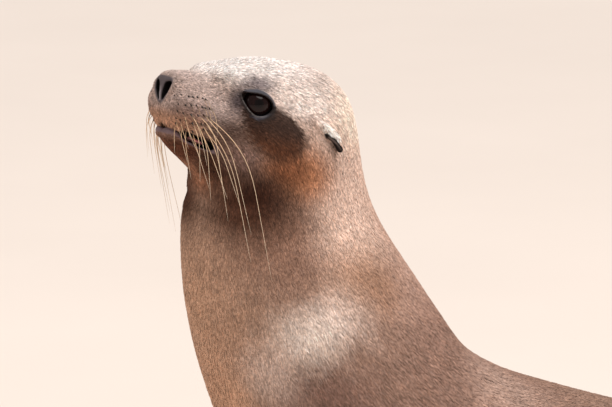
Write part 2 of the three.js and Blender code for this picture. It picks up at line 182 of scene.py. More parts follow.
def curve(x, stops, rows):
    """Each column of some rows, interpolated between stops."""
    return np.stack([np.interp(x, stops, column) for column in np.asarray(rows, float).T], 1)


# ---- Meshes as arrays ----------------------------------------------------------------------------


def mesh_from(name, points, faces):
    """A mesh from points in metres and faces that all have the same number of corners."""
    mesh = bpy.data.meshes.new(name)
    mesh.vertices.add(len(points))
    mesh.vertices.foreach_set("co", np.ascontiguousarray(points, np.float32).ravel())
    count, sides = faces.shape
    mesh.loops.add(count * sides)
    mesh.loops.foreach_set("vertex_index", np.ascontiguousarray(faces, np.int32).ravel())
    mesh.polygons.add(count)
    mesh.polygons.foreach_set("loop_start", np.arange(0, count * sides, sides, dtype=np.int32))
    mesh.update(calc_edges=True)
    return mesh


def added(name, data):
    """An object in the scene for a mesh, a light or a camera."""
    made = bpy.data.objects.new(name, data)
    bpy.context.scene.collection.objects.link(made)
    return made


def arrays_of(mesh):
    """A mesh's points, in metres, and its triangles."""
    mesh.calc_loop_triangles()
    points = np.empty(len(mesh.vertices) * 3, np.float32)
    mesh.vertices.foreach_get("co", points)
    faces = np.empty(len(mesh.loop_triangles) * 3, np.int32)
    mesh.loop_triangles.foreach_get("vertices", faces)
    return points.reshape(-1, 3), faces.reshape(-1, 3)


def triangles(*corners):
    """Faces from sets of three lists of corners, where a single number is repeated."""
    return np.vstack([np.stack(np.broadcast_arrays(*three), 1) for three in corners])


def joined(parts):
    """Several pairs of points and faces as one."""
    starts = np.cumsum([0] + [len(points) for points, _ in parts])
    faces = [f + start for (_, f), start in zip(parts, starts)]
    return np.vstack([points for points, _ in parts]), np.vstack(faces)


def welded(node):
    """A CAD node's points in millimetres, each one once, and its triangles."""
    points, faces = arrays_of(nodes[node].data)
    points = points / MM
    keys = np.round(points * 1000).astype(np.int64)
    _, first, same = np.unique(keys, axis=0, return_index=True, return_inverse=True)
    faces = same.ravel()[faces]
    real = np.all(faces != np.roll(faces, -1, axis=1), axis=1)
    return points[first].astype(float), faces[real]


def corner_normals(points, faces):
    """The normal at each corner of each face, smooth except over sharp edges."""
    mesh = mesh_from("scratch", points * MM, faces)
    mesh.shade_smooth()
    mesh.set_sharp_from_angle(angle=SHARP_EDGE)
    normals = np.empty(len(mesh.loops) * 3, np.float32)
    mesh.corner_normals.foreach_get("vector", normals)
    bpy.data.meshes.remove(mesh)
    return normals.reshape(-1, 3, 3).astype(float)


def rounded(points, faces):
    """Splits each triangle in four, with the new points on curves that bulge as its normals say."""
    normals = corner_normals(points, faces)
    starts, ends = faces.ravel(), np.roll(faces, -1, axis=1).ravel()
    start_n, end_n = normals.reshape(-1, 3), np.roll(normals, -1, axis=1).reshape(-1, 3)
    run = points[ends] - points[starts]
    bulge = (dot(run, end_n) * end_n - dot(run, start_n) * start_n) / 8
    edge = np.minimum(starts, ends) * len(points) + np.maximum(starts, ends)
    order = np.lexsort((np.linalg.norm(bulge, axis=1), edge))
    chosen = order[np.flatnonzero(np.append(edge[order][1:] != edge[order][:-1], True))]
    number = np.searchsorted(edge[chosen], edge).reshape(-1, 3) + len(points)
    middles = (points[starts[chosen]] + points[ends[chosen]]) / 2 + bulge[chosen]
    a, b, c = faces.T
    ab, bc, ca = number.T
    quarters = triangles((a, ab, ca), (ab, b, bc), (ca, bc, c), (ab, bc, ca))
    return np.vstack([points, middles]), quarters


def smooth_solid(node, rounds=FACET_ROUNDS):
    points, faces = welded(node)
    for _ in range(rounds):
        points, faces = rounded(points, faces)
    return points, faces


SOLIDS = {n: smooth_solid(n) for n in dict.fromkeys(HEAD_NODES + BODY_NODES + FLIPPERS)}
SOLIDS.update({n: smooth_solid(n, 1) for n in EYES.values()})


# ---- Distance fields -----------------------------------------------------------------------------


def blurred(values, sigma):
    """A Gaussian blur, sigma in grid steps."""
    reach = max(1, int(math.ceil(sigma * 2.5)))
    steps = np.arange(-reach, reach + 1)
    weights = np.exp(-(steps**2) / (2 * sigma * sigma))
    weights = (weights / weights.sum()).astype(np.float32)
    for _ in range(3):
        padded = np.pad(values, [(reach, reach), (0, 0), (0, 0)], mode="edge")
        total = sum(w * padded[k:k + len(values)] for k, w in enumerate(weights))
        values = total.transpose(1, 2, 0)
    return values


def solid_field(names, voxel, closed, reach, blur):
    """Distance to the outside of several solids as one, with cracks up to 2*closed filled."""
    points, faces = joined([SOLIDS[name] for name in names])
    at = vdb.createLinearTransform(voxel)
    first = vdb.FloatGrid.createLevelSetFromPolygons(
        points.astype(np.float32), triangles=faces.astype(np.uint32), transform=at,
        halfWidth=closed / voxel + 3.0,
    )
    shell, quads = first.convertToQuads(closed)
    second = vdb.FloatGrid.createLevelSetFromPolygons(
        shell, quads=quads, transform=at,
        exBandWidth=reach / voxel, inBandWidth=(reach + closed) / voxel,
    )
    low, high = (np.array(c) for c in second.evalActiveVoxelBoundingBox())
    values = np.zeros(high - low + 1, np.float32)
    second.copyToArray(values, ijk=tuple(int(v) for v in low))
    values = blurred(np.clip(values + closed, -reach, reach), blur / voxel)
    return Lattice(low * voxel, voxel, values)


def soft_min(a, b, melt):
    share = np.clip(0.5 + 0.5 * (b - a) / melt, 0, 1)
    return b + (a - b) * share - melt * share * (1 - share)


def soft_max(a, b, melt):
    return -soft_min(-a, -b, melt)


def grid_lines(low, high, stretches):
    """Lines over a span, close together in the fine stretches and spreading away from them."""
    x = np.linspace(low, high, 20001)
    step = np.full_like(x, GRID_COARSE)
    for start, end, fine in stretches:
        away = np.maximum(0, np.maximum(start - x, x - end))
        step = np.minimum(step, fine + away * GRID_GROWTH)
    count = np.concatenate([[0], np.cumsum((1 / step[1:] + 1 / step[:-1]) / 2 * np.diff(x))])
    return np.interp(np.arange(int(count[-1]) + 1), count, x)


class Field:
    """Distances at the crossings of three sets of grid lines, below zero inside."""

    def __init__(self, lines, values=None):
        self.lines, self.values = lines, values

    def steps(self, k, x):
        """Where places lie along an axis, counted in its grid lines."""
        line = self.lines[k]
        return np.clip(np.interp(x, line, np.arange(len(line))), 0, len(line) - GRID_END)

    def part(self, low, high):
        """The block of the grid round a box, as slices."""
        return tuple(
            slice(max(0, np.searchsorted(line, a) - 1), np.searchsorted(line, b) + 1)
            for line, a, b in zip(self.lines, low, high)
        )

    def near(self, points, reach):
        """The block of the grid round some places, and where its crossings are."""
        points = np.atleast_2d(points)
        part = self.part(points.min(0) - reach, points.max(0) + reach)
        cut = [line[s].astype(np.float32) for line, s in zip(self.lines, part)]
        return part, np.stack(np.meshgrid(*cut, indexing="ij"), -1)

    def sample(self, points, values=None):
        """The distance at any places, by interpolation."""
        values = self.values if values is None else values
        place = [self.steps(k, points[:, k]) for k in range(3)]
        low = [p.astype(int) for p in place]
        share = [p - n for p, n in zip(place, low)]
        total = np.zeros(len(points))
        for corner in np.ndindex(2, 2, 2):
            x, y, z = (s if c else 1 - s for c, s in zip(corner, share))
            total += x * y * z * values[tuple(n + c for c, n in zip(corner, low))]
        return total

    def slope(self, points, step=0.6):
        """The field's gradient at any places."""
        return np.stack([
            (self.sample(points + move) - self.sample(points - move)) / (2 * step)
            for move in np.eye(3) * step
        ], 1)

    def groove(self, line, width, depth, margin):
        """Presses a groove in along a line on the skin. Depth below zero is a ridge."""
        part, places = self.near(line, margin)
        away, along = near_path(places, line)
        ends = np.sqrt(np.clip(4 * along * (1 - along), 0, 1))
        self.values[part] += (depth * ends * np.exp(-((away / width) ** 2))).astype(np.float32)


class Lattice(Field):
    """A field on evenly spaced lines."""

    def __init__(self, start, step, values):
        super().__init__([a + step * np.arange(n) for a, n in zip(start, values.shape)], values)
        self.start, self.step = start, step

    def steps(self, k, x, end=GRID_END):
        return np.clip((x - self.start[k]) / self.step, 0, self.values.shape[k] - end)

    def on(self, lines):
        """The distances at the crossings of three other sets of grid lines."""
        out = self.values
        for axis, line in enumerate(lines):
            at = self.steps(axis, line, LATTICE_END)
            low = at.astype(int)
            share = (at - low).astype(np.float32)
            share = share.reshape([-1 if k == axis else 1 for k in range(3)])
            below, above = (np.take(out, low + n, axis=axis) for n in (0, 1))
            out = below + (above - below) * share
        return out

    def over(self, field):
        """The block of a field's grid that this one covers, and the distances at its crossings."""
        part = field.part(*zip(*[(line[0], line[-1]) for line in self.lines]))
        return part, self.on([line[s] for line, s in zip(field.lines, part)])


def body_field():
    """The whole animal's field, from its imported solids."""
    lo, hi = (np.array(c) / MM for c in cad_box)
    field = Field([
        grid_lines(lo[k] - GRID_MARGIN, hi[k] + GRID_MARGIN, GRID_FINE[axis])
        for k, axis in enumerate("xyz")
    ])
    field.values = solid_field(BODY_NODES, *BODY_GRID).on(field.lines)
    field.limbs = {name: solid_field([name], *LIMB_GRID) for name in LIMBS}
    for limb in field.limbs.values():
        part, block = limb.over(field)
        field.values[part] = soft_min(field.values[part], block, LIMB_MELT)
    field.mouth_closed = field.values.copy()
    names = HEAD_NODES + ("neck",) + tuple(EYES.values())
    for values, sizes in ((field.values, HEAD_GRID), (field.mouth_closed, HEAD_SHUT)):
        blend_head(field, values, solid_field(names, *sizes))
    return field


def blend_head(field, values, fine):
    """Puts a finer field of the head into the body's, fading over into it down the neck."""
    part, block = fine.over(field)
    y, z = field.lines[1][part[1]][None, :, None], field.lines[2][part[2]][None, None, :]
    fade = HEAD_FROM["fade"]
    share = smooth_step(0, fade, HEAD_FROM["behind"] - y)
    share = share * smooth_step(0, fade, z - HEAD_FROM["below"])
    values[part] += (block - values[part]) * share.astype(np.float32)


# ---- Shaping the face in the field ---------------------------------------------------------------


def near_path(places, path):
    """The distance to a path of straight runs, and how far along it the nearest place is."""
    best = np.full(places.shape[:-1], 1e9, np.float32)
    along = np.zeros_like(best)
    for n, (start, end) in enumerate(zip(path, path[1:])):
        run = end - start
        share = np.clip((places - start) @ run / max(run @ run, 1e-9), 0, 1)
        away = np.linalg.norm(places - start - share[..., None] * run, axis=-1)
        closer = away < best
        best = np.where(closer, away, best)
        along = np.where(closer, (n + share) / (len(path) - 1), along)
    return best, along


def outline_distance(x, y, corners):
    """The distance to a closed outline, below zero inside."""
    best = np.full(x.shape, 1e9)
    inside = np.zeros(x.shape, bool)
    for (x0, y0), (x1, y1) in zip(corners, np.roll(corners, -1, axis=0)):
        run_x, run_y = x1 - x0, y1 - y0
        share = ((x - x0) * run_x + (y - y0) * run_y) / (run_x**2 + run_y**2)
        share = np.clip(share, 0, 1)
        best = np.minimum(best, np.hypot(x - x0 - share * run_x, y - y0 - share * run_y))
        if run_y:
            inside ^= ((y0 <= y) != (y1 <= y)) & (x < run_x * (y - y0) / run_y + x0)
    return np.where(inside, -best, best)


def softened(corners, rounds=2):
    """A closed outline with its corners cut off, round after round."""
    corners = np.asarray(corners, float)
    for _ in range(rounds):
        after = np.roll(corners, -1, axis=0)
        corners = np.stack([corners * 0.75 + after * 0.25, corners * 0.25 + after * 0.75], 1)
        corners = corners.reshape(-1, 2)
    return corners


def lengths(path):
    """How far along a path each of its points is."""
    return np.concatenate([[0], np.cumsum(np.linalg.norm(np.diff(path, axis=0), axis=1))])


def dense(path, step):
    """A path with points no further apart than step."""
    path = np.asarray(path, float)
    length = lengths(path)
    marks = np.linspace(0, length[-1], max(2, int(length[-1] / step) + 2))
    return curve(marks, length, path)


def onto(field, points, level=0.0, rounds=4, most=4.0, least=0.2, step=0.6):
    """Moves places along a field's slope to one of its levels, by no more than most at a time."""
    for _ in range(rounds):
        slope = field.slope(points, step)
        size = np.maximum(dot(slope, slope), least)
        gap = (field.sample(points) - level)[:, None]
        points = points - np.clip(gap, -most, most) * slope / size
    return points


def press(field, path, width, depth, sides=(1, -1)):
    """Presses a groove into the skin along a path on the head."""
    for side in sides:
        line = onto(field, head_to_row(dense(path, max(4.0, width)) * (1, 1, side)))
        field.groove(line, width, depth, 3 * width)


# The opening between the lids, seen along the eye's gaze: [back, up] from the eye's middle
GAZE = (0.468, 0.087, 0.88)
LID_LINE = softened([
    (-18.5, 13.0), (-12.5, 11.6), (-3.0, 10.2), (5.0, 8.0), (11.0, 4.2), (15.2, -1.0),
    (15.4, -5.6), (12.0, -10.4), (6.4, -13.2), (0.0, -13.8), (-5.2, -12.0), (-10.0, -6.6),
    (-14.2, 0.4), (-17.2, 7.0),
])
LID = {"thick": 2.6, "melt": 9.0, "pocket": 0.25, "corner_floor": 9.0, "wider": 1.3,
       "reach": 36.0, "outside": 40.0, "margin": 8.0}
LID_FOLDS = (  # paths of [back, up], width and depth of each fold
    (((-19, 18), (-9, 18.5), (3, 17), (12, 13), (20, 6), (24, 0)), 2.2, 1.3),
    (((-21, 9), (-18, 1), (-13, -8), (-7, -15), (1, -18.5), (10, -18)), 1.7, 1.0),
    (((12, -11.5), (18, -12.3), (26, -12.6)), 1.3, 1.3),
    (((14, -6.5), (20, -8), (25, -7)), 1.2, 0.8),
    (((-17, 13), (-22, 15), (-28, 15)), 2.0, 1.6),
    (((-4, 14.2), (6, 12.6), (14, 8.5), (18.5, 2), (19.5, -5)), 2.2, -0.9),
    (((-16.5, -3), (-11, -11), (-4, -16), (4, -16.4)), 1.6, -0.8),
)


def eye_axes(side):
    """The eye's gaze, the direction to the back of the head and up, in the row frame."""
    gaze = unit(np.array(GAZE) * (1, 1, side))
    up = np.array([math.sin(HEAD_PITCH), math.cos(HEAD_PITCH), 0])
    up = unit(up - (up @ gaze) * gaze)
    back = np.cross(up, gaze)
    back = back * -np.sign(back[0])
    return gaze @ AXES, back @ AXES, up @ AXES


def eye_view(places, side):
    """Places as [back, up, along the gaze] from the eye's middle."""
    gaze, back, up = eye_axes(side)
    away = places - EYE_AT[side]
    return away @ back, away @ up, away @ gaze


def shape_eye(field, side):
    """Lids over the eye's ball, with an opening, its tear corner and the folds round it."""
    gaze, back, up = eye_axes(side)
    middle = EYE_AT[side]
    part, places = field.near(middle, LID["reach"])
    b, u, out = eye_view(places, side)
    ball = np.linalg.norm(places - middle, axis=-1) - EYE_RADIUS
    flesh = soft_min(field.values[part], ball - LID["thick"], LID["melt"])
    opening = outline_distance(b, u, LID_LINE) - LID["wider"]
    opening = np.maximum(opening, LID["corner_floor"] - out)
    flesh = soft_max(flesh, -opening, 1.0)
    field.values[part] = np.maximum(flesh, -(ball - LID["pocket"]))
    for path, width, depth in LID_FOLDS:
        line = dense(path, 2.5)
        line = middle + line[:, :1] * back + line[:, 1:] * up + LID["outside"] * gaze
        for _ in range(12):
            line = line - field.sample(line)[:, None] * gaze * 0.9
        field.groove(line, width, depth, LID["margin"])


NOSTRIL = softened([
    (14.8, 10.8), (14.0, 3.0), (10.0, -4.5), (5.0, -11.0), (2.6, -13.2), (1.8, -10.0),
    (2.8, -2.0), (4.2, 5.0), (6.2, 9.4),
])  # [aside, up] on the front of the nose
NOSTRIL_BACK = 86.0
NOSTRIL_AT = (100, -2, 8)
NOSE_PAD = softened([
    (-10, 16), (10, 16), (16.2, 12.5), (15.4, 3), (11, -7), (5.5, -14.5), (0, -17.5),
    (-5.5, -14.5), (-11, -7), (-15.4, 3), (-16.2, 12.5),
])

UPPER_LIP = ((97, -37.5, 6), (93, -39, 13), (84, -41, 20), (74, -43.5, 27), (62, -48, 31),
             (47, -54, 33.5), (37, -61, 34))
LOWER_LIP = ((97, -46.5, 0), (94, -48, 9), (86, -50.5, 15), (77, -53.5, 20), (64, -57.5, 24),
             (50, -60.5, 28), (38, -62.5, 32))
FACE_LINES = (  # paths of [forward, up, aside], width and depth of each groove or ridge
    (((108, -14, 0), (106.5, -21, 0), (103, -29, 0), (98.5, -37, 0)), 2.4, 2.0),  # philtrum
    (((106, 15, 11), (104, 9, 17.5), (104, -1, 15.5), (106.5, -10, 8)), 2.4, -1.2),  # nose wings
    (((100, 10, 21), (101, 0, 19.5), (104, -10, 13), (105, -17, 7)), 2.6, 1.0),
    (tuple((a, h + 3, w + 1) for a, h, w in UPPER_LIP[1:-1]), 3.2, -1.2),
    (tuple((a, h - 3, w) for a, h, w in LOWER_LIP[:-1]), 3.0, -1.3),
    (tuple((a, h - 9, w) for a, h, w in LOWER_LIP[1:-1]), 4.0, 1.2),
    (((38, -60, 34), (30, -64, 40), (21, -66, 46)), 4.0, 2.2),  # mouth corner
    (((100, -9, 25), (86, -9.5, 34), (70, -8, 36), (56, -12, 37)), 3.6, -0.8),  # whisker rows
    (((100, -17, 26), (88, -17.5, 35), (72, -18, 38.5), (56, -21, 39)), 3.6, -0.9),
    (((98, -25, 24), (86, -26, 34), (72, -28, 38), (58, -31, 38)), 3.6, -0.9),
    (((94, -33, 20), (82, -35, 30), (70, -37, 34), (58, -40, 35)), 3.4, -0.8),
    (((44, 14, 33), (52, 12, 32), (62, 12, 30)), 5.0, 1.2),  # before the eye
    (((58, 27, 24), (50, 31, 30), (38, 34, 34), (24, 34, 37)), 6.0, -4.6),  # brow
    (((90, -6, 24), (97, -15, 20), (97, -23, 18), (93, -30, 16)), 9.0, -3.8),  # whisker pads
    (((99, -38, 4), (95, -39, 11), (89, -40.3, 16), (83, -41.8, 20)), 4.5, -5.0),  # upper lip
    (((95, -46.5, 0), (94, -47, 8), (88, -49, 14), (81, -51.5, 18)), 5.0, -4.8),
    (((46, 42, 0), (20, 48, 0), (-14, 50, 0), (-50, 44, 0)), 26.0, -2.6),  # crown
    (((22, -122, 0), (20, -123, 22), (10, -121, 47), (-10, -114, 70)), 8.0, 3.6),  # throat
    (((-62, -12, 76), (-50, -10, 71), (-36, -10, 66)), 5.0, -1.8),  # ridge before the ear
    (((-62, 1, 74), (-74, -6, 84), (-84, -14, 91)), 2.6, 1.4),  # over the ear
)
BODY_LINES = (  # the same for the neck and body, as [aside, along Y, up] in the row frame
    (((132, -425, 440), (112, -470, 400), (88, -512, 366)), 26.0, -4.0),  # shoulder swell
    (((100, -500, 455), (122, -440, 478), (128, -395, 500)), 20.0, 2.2),
    (((60, -585, 470), (98, -520, 500), (112, -440, 545)), 16.0, 1.6),
)
PHILTRUM = ((108, -15, 0), (106.5, -21, 0), (103.5, -28, 0))
# The septum's pale line along this path is a painted highlight
SEPTUM = ((104, 12, 0), (107, 4, 0), (109, -6, 0), (108.5, -13, 0))
MOUTH = {"middle": 66.0, "front": 6.0, "back": 15.0, "fades": (62.0, 80.0)}  # how deep it is

BODY_FOLDS = (  # [along the spine from the nose, angle from the back], width and depth
    (((500, 0), (560, 0), (700, 0), (900, 0), (1080, 0), (1230, 0)), 16.0, 3.5),  # spine
    (((450, 30), (500, 34), (560, 40), (620, 42)), 28.0, -4.0),  # shoulder blade
    (((430, 48), (500, 58), (570, 62), (640, 58)), 14.0, 2.5),
    (((407, 30), (405, 42), (402, 54), (396, 66)), 18.0, 2.4),  # folds at the foot of the neck
    (((377, 34), (374, 44), (369, 56)), 12.0, 1.4),
    (((700, 74), (780, 80), (880, 82), (980, 78)), 30.0, 3.0),  # flank
    (((1040, 34), (1110, 44), (1190, 52), (1250, 56)), 30.0, -6.0),  # thigh
    (((1000, 60), (1080, 72), (1160, 84)), 14.0, 3.0),
    (((1260, 14), (1300, 34), (1320, 60)), 12.0, 3.0),  # over the hind flippers
)


def shape_nostrils(field):
    for side in (1, -1):
        part, places = field.near(head_to_row(np.array(NOSTRIL_AT) * (1, 1, side)), 26)
        head = row_to_head(places)
        hole = outline_distance(head[..., 2] * side, head[..., 1], NOSTRIL)
        hole = np.maximum(hole, NOSTRIL_BACK - head[..., 0])
        field.values[part] = soft_max(field.values[part], -hole, 1.2)


EAR = ((-58, -7, 74), (-74, -14, 85), (-88.5, -25.5, 92))  # its furred upper side, whose near white rim is partly a painted highlight
EAR_ROLL = ((-76, -23.5, 88), (-85.5, -30, 93.5), (-93.5, -38, 95.5))  # its bare dark roll
EAR_SHEEN = ((-78, -26, 91), (-86, -32, 97.5), (-92, -38, 100))
EAR_TUBES = ((EAR, 5.2, 3.8, 3.0), (EAR_ROLL, 2.7, 5.0, 0.8))  # radii at root and tip, and melt


def fill_mouth(field):
    """Closes the mouth's slot some way in, deeper where the tongue shows."""
    part, places = field.near(head_to_row((MOUTH["middle"], -52, 0)), 64)
    ahead = row_to_head(places)[..., 0]
    depth = MOUTH["back"] + (MOUTH["front"] - MOUTH["back"]) * smooth_step(*MOUTH["fades"], ahead)
    floor = field.mouth_closed[part] + depth.astype(np.float32)
    field.values[part] = soft_min(field.values[part], floor, 1.5)


def shape_ears(field):
    """Each ear is a small cone that points back and down, with its bare lower edge rolled."""
    for side in (1, -1):
        part, places = field.near(head_to_row(np.array(EAR) * (1, 1, side)), 26)
        flesh = field.values[part]
        for path, root, tip, melt in EAR_TUBES:
            away, along = near_path(places, head_to_row(np.array(path) * (1, 1, side)))
            flesh = soft_min(flesh, away - (root + (tip - root) * along), melt)
        field.values[part] = flesh


def round_body(field, path):
    """Places on the skin from [along the spine, angle from the back], in degrees."""
    far, turn = dense(path, 9.0).T
    spine = GUIDES[0]
    at, top, edge = (curve(far, spine.far, rows) for rows in (spine.at, spine.top, spine.edge))
    turn = np.radians(turn)[:, None]
    out = top * np.cos(turn) + edge * np.sin(turn)
    half = np.interp(far, spine.far, spine.half)[:, None]
    return onto(field, at + out * half, rounds=24)


def shape_body(field):
    for path, width, depth in BODY_FOLDS:
        path = np.array(path, float)
        for side in (1, -1) if path[:, 1].any() else (1,):
            field.groove(round_body(field, path * (1, side)), width, depth, 2.5 * width)


def shape_skin(field):
    """All the folds and openings, from the large ones to the small ones."""
    shape_body(field)
    for path, width, depth in BODY_LINES:
        left = row_to_head(np.array(path, float))
        right = row_to_head(head_to_row(left) * (-1, 1, 1))
        for line in (left, right):
            press(field, line, width, depth, (1,))
    for path, width, depth in FACE_LINES:
        press(field, path, width, depth, (1, -1) if path[0][2] or path[1][2] else (1,))
    fill_mouth(field)
    shape_nostrils(field)
    shape_ears(field)
    for side in (1, -1):
        shape_eye(field, side)
    floor = -field.lines[2].astype(np.float32)[None, None, :]
    field.values = soft_max(field.values, floor, 1.5).astype(np.float32)


# ---- The lie of the coat: guides through the body and the flippers -------------------------------

# [back, up, half width] from the middle of the eyes, level with the floor
SPINE = (
    (53, -75, 92), (60, -124, 99), (65, -156, 105), (76, -200, 116), (98, -255, 129),
    (126, -315, 144), (166, -383, 157), (231, -443, 166), (325, -495, 171), (440, -540, 172),
    (583, -575, 165), (737, -599, 148), (869, -620, 121), (968, -642, 87), (1032, -660, 46),
    (1110, -677, 16),
)
HEAD_SPINE = ((106, -8, 20), (90, -20, 32), (60, -25, 38), (20, -28, 46), (-30, -32, 62))
# [aside, back, above the floor, half width, leading edge] of the left flippers
FORE_GUIDE = (
    (85, 205, 300, 60, (0, -1, 0)), (128, 207, 215, 66, (0, -1, 0)),
    (158, 200, 135, 64, (0.15, -1, 0)), (180, 196, 68, 62, (0.35, -1, 0)),
    (224, 224, 19, 70, (0.69, -0.72, 0)), (408, 408, 4, 50, (0.69, -0.72, 0)),
)
HIND_GUIDE = (
    (30, 925, 55, 42, (0, 1, 0)), (82, 985, 45, 45, (0.6, 0.8, 0.15)),
    (124, 986, 30, 43, (1, 0.3, 0)), (148, 936, 17, 50, (0.94, 0.33, 0)),
    (220, 728, 4, 66, (0.94, 0.33, 0)),
)
GUIDE_STEP = 14.0
LIE_BLOCK = 20000  # how many points are placed at a time
HIND = 4  # guides are numbered 0 for the spine, 2 and 3 for the fore flippers, then 4 and 5


class Guide:
    """Dense points along a limb or the spine, each with its direction and breadth."""

    def __init__(self, points, halves, edges):
        rows = dense(np.hstack([points, np.reshape(halves, (-1, 1)), edges]), GUIDE_STEP)
        self.at, self.half = rows[:, :3], rows[:, 3]
        self.run = unit(np.gradient(self.at, axis=0))
        self.edge = unit(rows[:, 4:] - dot(rows[:, 4:], self.run) * self.run)
        self.top = np.cross(self.edge, self.run)
        self.far = lengths(self.at)

    def about(self, points):
        """How far off each point is, its place along and around, and the lie there."""
        square = np.sum((points[:, None] - self.at[None]) ** 2, 2) / self.half[None] ** 2
        least = square.min(1)
        weight = np.exp(-(square - least[:, None]) * 6)
        weight /= weight.sum(1, keepdims=True)
        out = points - weight @ self.at
        half = weight @ self.half
        across = np.sum(out * (weight @ self.edge), 1)
        angle = np.arctan2(across, np.sum(out * (weight @ self.top), 1))
        return least, weight @ self.far, angle, weight @ self.run, half, across / half


def make_guides():
    """The spine's guide, and the left flippers' ones, which serve the right ones mirrored."""
    head = head_to_row([(a, h, 0) for a, h, _ in HEAD_SPINE])
    body = [(0, HEAD_ZERO[1] + back, HEAD_ZERO[2] + up) for back, up, _ in SPINE]
    halves = [row[2] for row in HEAD_SPINE + SPINE]
    spine = np.vstack([head, body])
    # +X lies to the left of the run from nose to tail, so that the top is the animal's back
    guides = [Guide(spine, halves, np.tile((1.0, 0, 0), (len(spine), 1)))]
    for rows in (FORE_GUIDE, HIND_GUIDE):
        points = [(x, HEAD_ZERO[1] + back, z) for x, back, z, _, _ in rows]
        guides.append(Guide(np.array(points), [r[3] for r in rows], np.array([r[4] for r in rows])))
    return guides


GUIDES = make_guides()


def lie_of(points):
    """For each point: which guide it goes by, its place along and around, breadth and lie."""
    out = {"guide": [], "along": [], "angle": [], "half": [], "across": [], "lie": []}
    for start in range(0, len(points), LIE_BLOCK):
        block = points[start:start + LIE_BLOCK]
        right = block[:, 0] < 0
        mirror = np.where(right, -1.0, 1.0)[:, None] * (1, 0, 0) + (0, 1, 1)
        found = [GUIDES[0].about(block)] + [g.about(block * mirror) for g in GUIDES[1:]]
        least = np.stack([f[0] for f in found])
        guide = least.argmin(0)
        weight = np.exp(-(np.sqrt(least) - np.sqrt(least.min(0))) * 7)[..., None]
        lie = sum(w * f[3] * m for w, f, m in zip(weight, found, (1, mirror, mirror)))
        row = np.arange(len(block))
        for key, n in (("along", 1), ("angle", 2), ("half", 4), ("across", 5)):
            out[key].append(np.stack([f[n] for f in found])[guide, row])
        out["guide"].append(np.where(guide > 0, guide * 2 + right, 0))
        out["lie"].append(unit(lie))
    return {key: np.concatenate(values) for key, values in out.items()}


# ---- The skin's mesh -----------------------------------------------------------------------------

SKIN_TRIANGLES = 196000
RELAX_ROUNDS = 2
BLADE_FROM = (230.0, 90.0)  # where a fore and a hind flipper are bare, along them
BLADE_INSET = 0.3
LEVEL_ROUNDS = 2


def skin_level(points):
    """How far inside the solids the skin lies: less at the face, and least on bare skin."""
    ahead = row_to_head(points)[:, 0]
    depth = INSET["body"] + (INSET["face"] - INSET["body"]) * smooth_step(-150, -40, ahead)
    for side in (1, -1):
        b, u, out = eye_view(points, side)
        depth = depth * smooth_step(20, 34, np.hypot(b, u) + np.maximum(0, 4 - out) * 4)
    depth = depth * (1 - 0.8 * smooth_step(88, 98, ahead))
    flat = (np.abs(points[:, 0]) > 200) | (points[:, 1] > 560)
    return -depth * np.where(flat, 0.15, 1 - 0.5 * fading(30, 90, points[:, 2]))


def edges_of(faces):
    pairs = np.stack([faces, np.roll(faces, -1, axis=1)], -1).reshape(-1, 2)
    return np.unique(np.sort(pairs, axis=1), axis=0)


def relaxed(points, edges, share):
    """Moves each point towards the middle of its neighbours."""
    count = np.bincount(edges.ravel(), minlength=len(points))[:, None]
    start, end = edges.T
    total = np.stack([
        np.bincount(start, column[end], len(points)) + np.bincount(end, column[start], len(points))
        for column in points.T
    ], 1)
    return points + share * (total / np.maximum(count, 1) - points)


def thinned(points, faces, count):
    """The same surface with fewer triangles, kept fine on the head."""
    made = added("thinned", mesh_from("thinned", points * MM, faces))
    group = made.vertex_groups.new(name="thin")
    ahead, up, _ = row_to_head(points).T
    away = np.maximum(smooth_step(-60, -190, ahead), smooth_step(-100, -190, up))
    for low in np.arange(0, 1, 0.1):
        chosen = np.flatnonzero((away > low) & (away <= low + 0.1))
        group.add(chosen.tolist(), float(low + 0.1), "REPLACE")
    thin = made.modifiers.new("thin", "DECIMATE")
    thin.ratio = count / (len(faces) * (faces.shape[1] - 2))
    thin.vertex_group = "thin"
    thin.vertex_group_factor = 2.0
    graph = bpy.context.evaluated_depsgraph_get()
    result = bpy.data.meshes.new_from_object(made.evaluated_get(graph))
    bpy.data.objects.remove(made)
    points, faces = arrays_of(result)
    return points.astype(float) / MM, faces


def draw_skin(field):
    """The skin's points and triangles, drawn from the field."""
    reach = GRID_COARSE * 1.5
    grid = vdb.FloatGrid(reach)
    grid.copyFromArray(np.clip(field.values, -reach, reach))
    found, quads = grid.convertToQuads(0)
    quads = quads.astype(np.int64)
    points = np.stack([
        np.interp(found[:, k], np.arange(len(line)), line) for k, line in enumerate(field.lines)
    ], 1)
    edges = edges_of(quads)
    for _ in range(RELAX_ROUNDS):
        points = to_level(field, relaxed(points, edges, 0.5))
    points, faces = thinned(points, quads, SKIN_TRIANGLES)
    return fit_blades(field, to_level(field, points)), faces


def blade_start(found):
    """How far along its flipper's guide each place's bare blade begins."""
    return np.where(found["guide"] < HIND, *BLADE_FROM)


def blade_share(found):
    """How much each place is part of a flipper's bare blade."""
    start = blade_start(found)
    return np.where(found["guide"] > 0, smooth_step(start, start + 110, found["along"]), 0.0)


def fit_blades(field, points):
    """Puts the flippers' thin blades on their own solids, whose fields are finer."""
    found = lie_of(points)
    share = blade_share(found)
    for number, name in enumerate(FLIPPERS, 2):
        own = np.flatnonzero((found["guide"] == number) & (share > 0))
        near = onto(field.limbs[name], points[own], -BLADE_INSET, most=3.0, least=0.3, step=1.0)
        near[:, 2] = np.maximum(near[:, 2], 0.0)
        points[own] += (near - points[own]) * share[own][:, None]
    return points


def to_level(field, points):
    for _ in range(LEVEL_ROUNDS):
        points = onto(field, points, skin_level(points), rounds=1, most=3.0)
    return points


# ---- Markings, shared by the skin and the coat ---------------------------------------------------

BASE = (170, 139, 121)
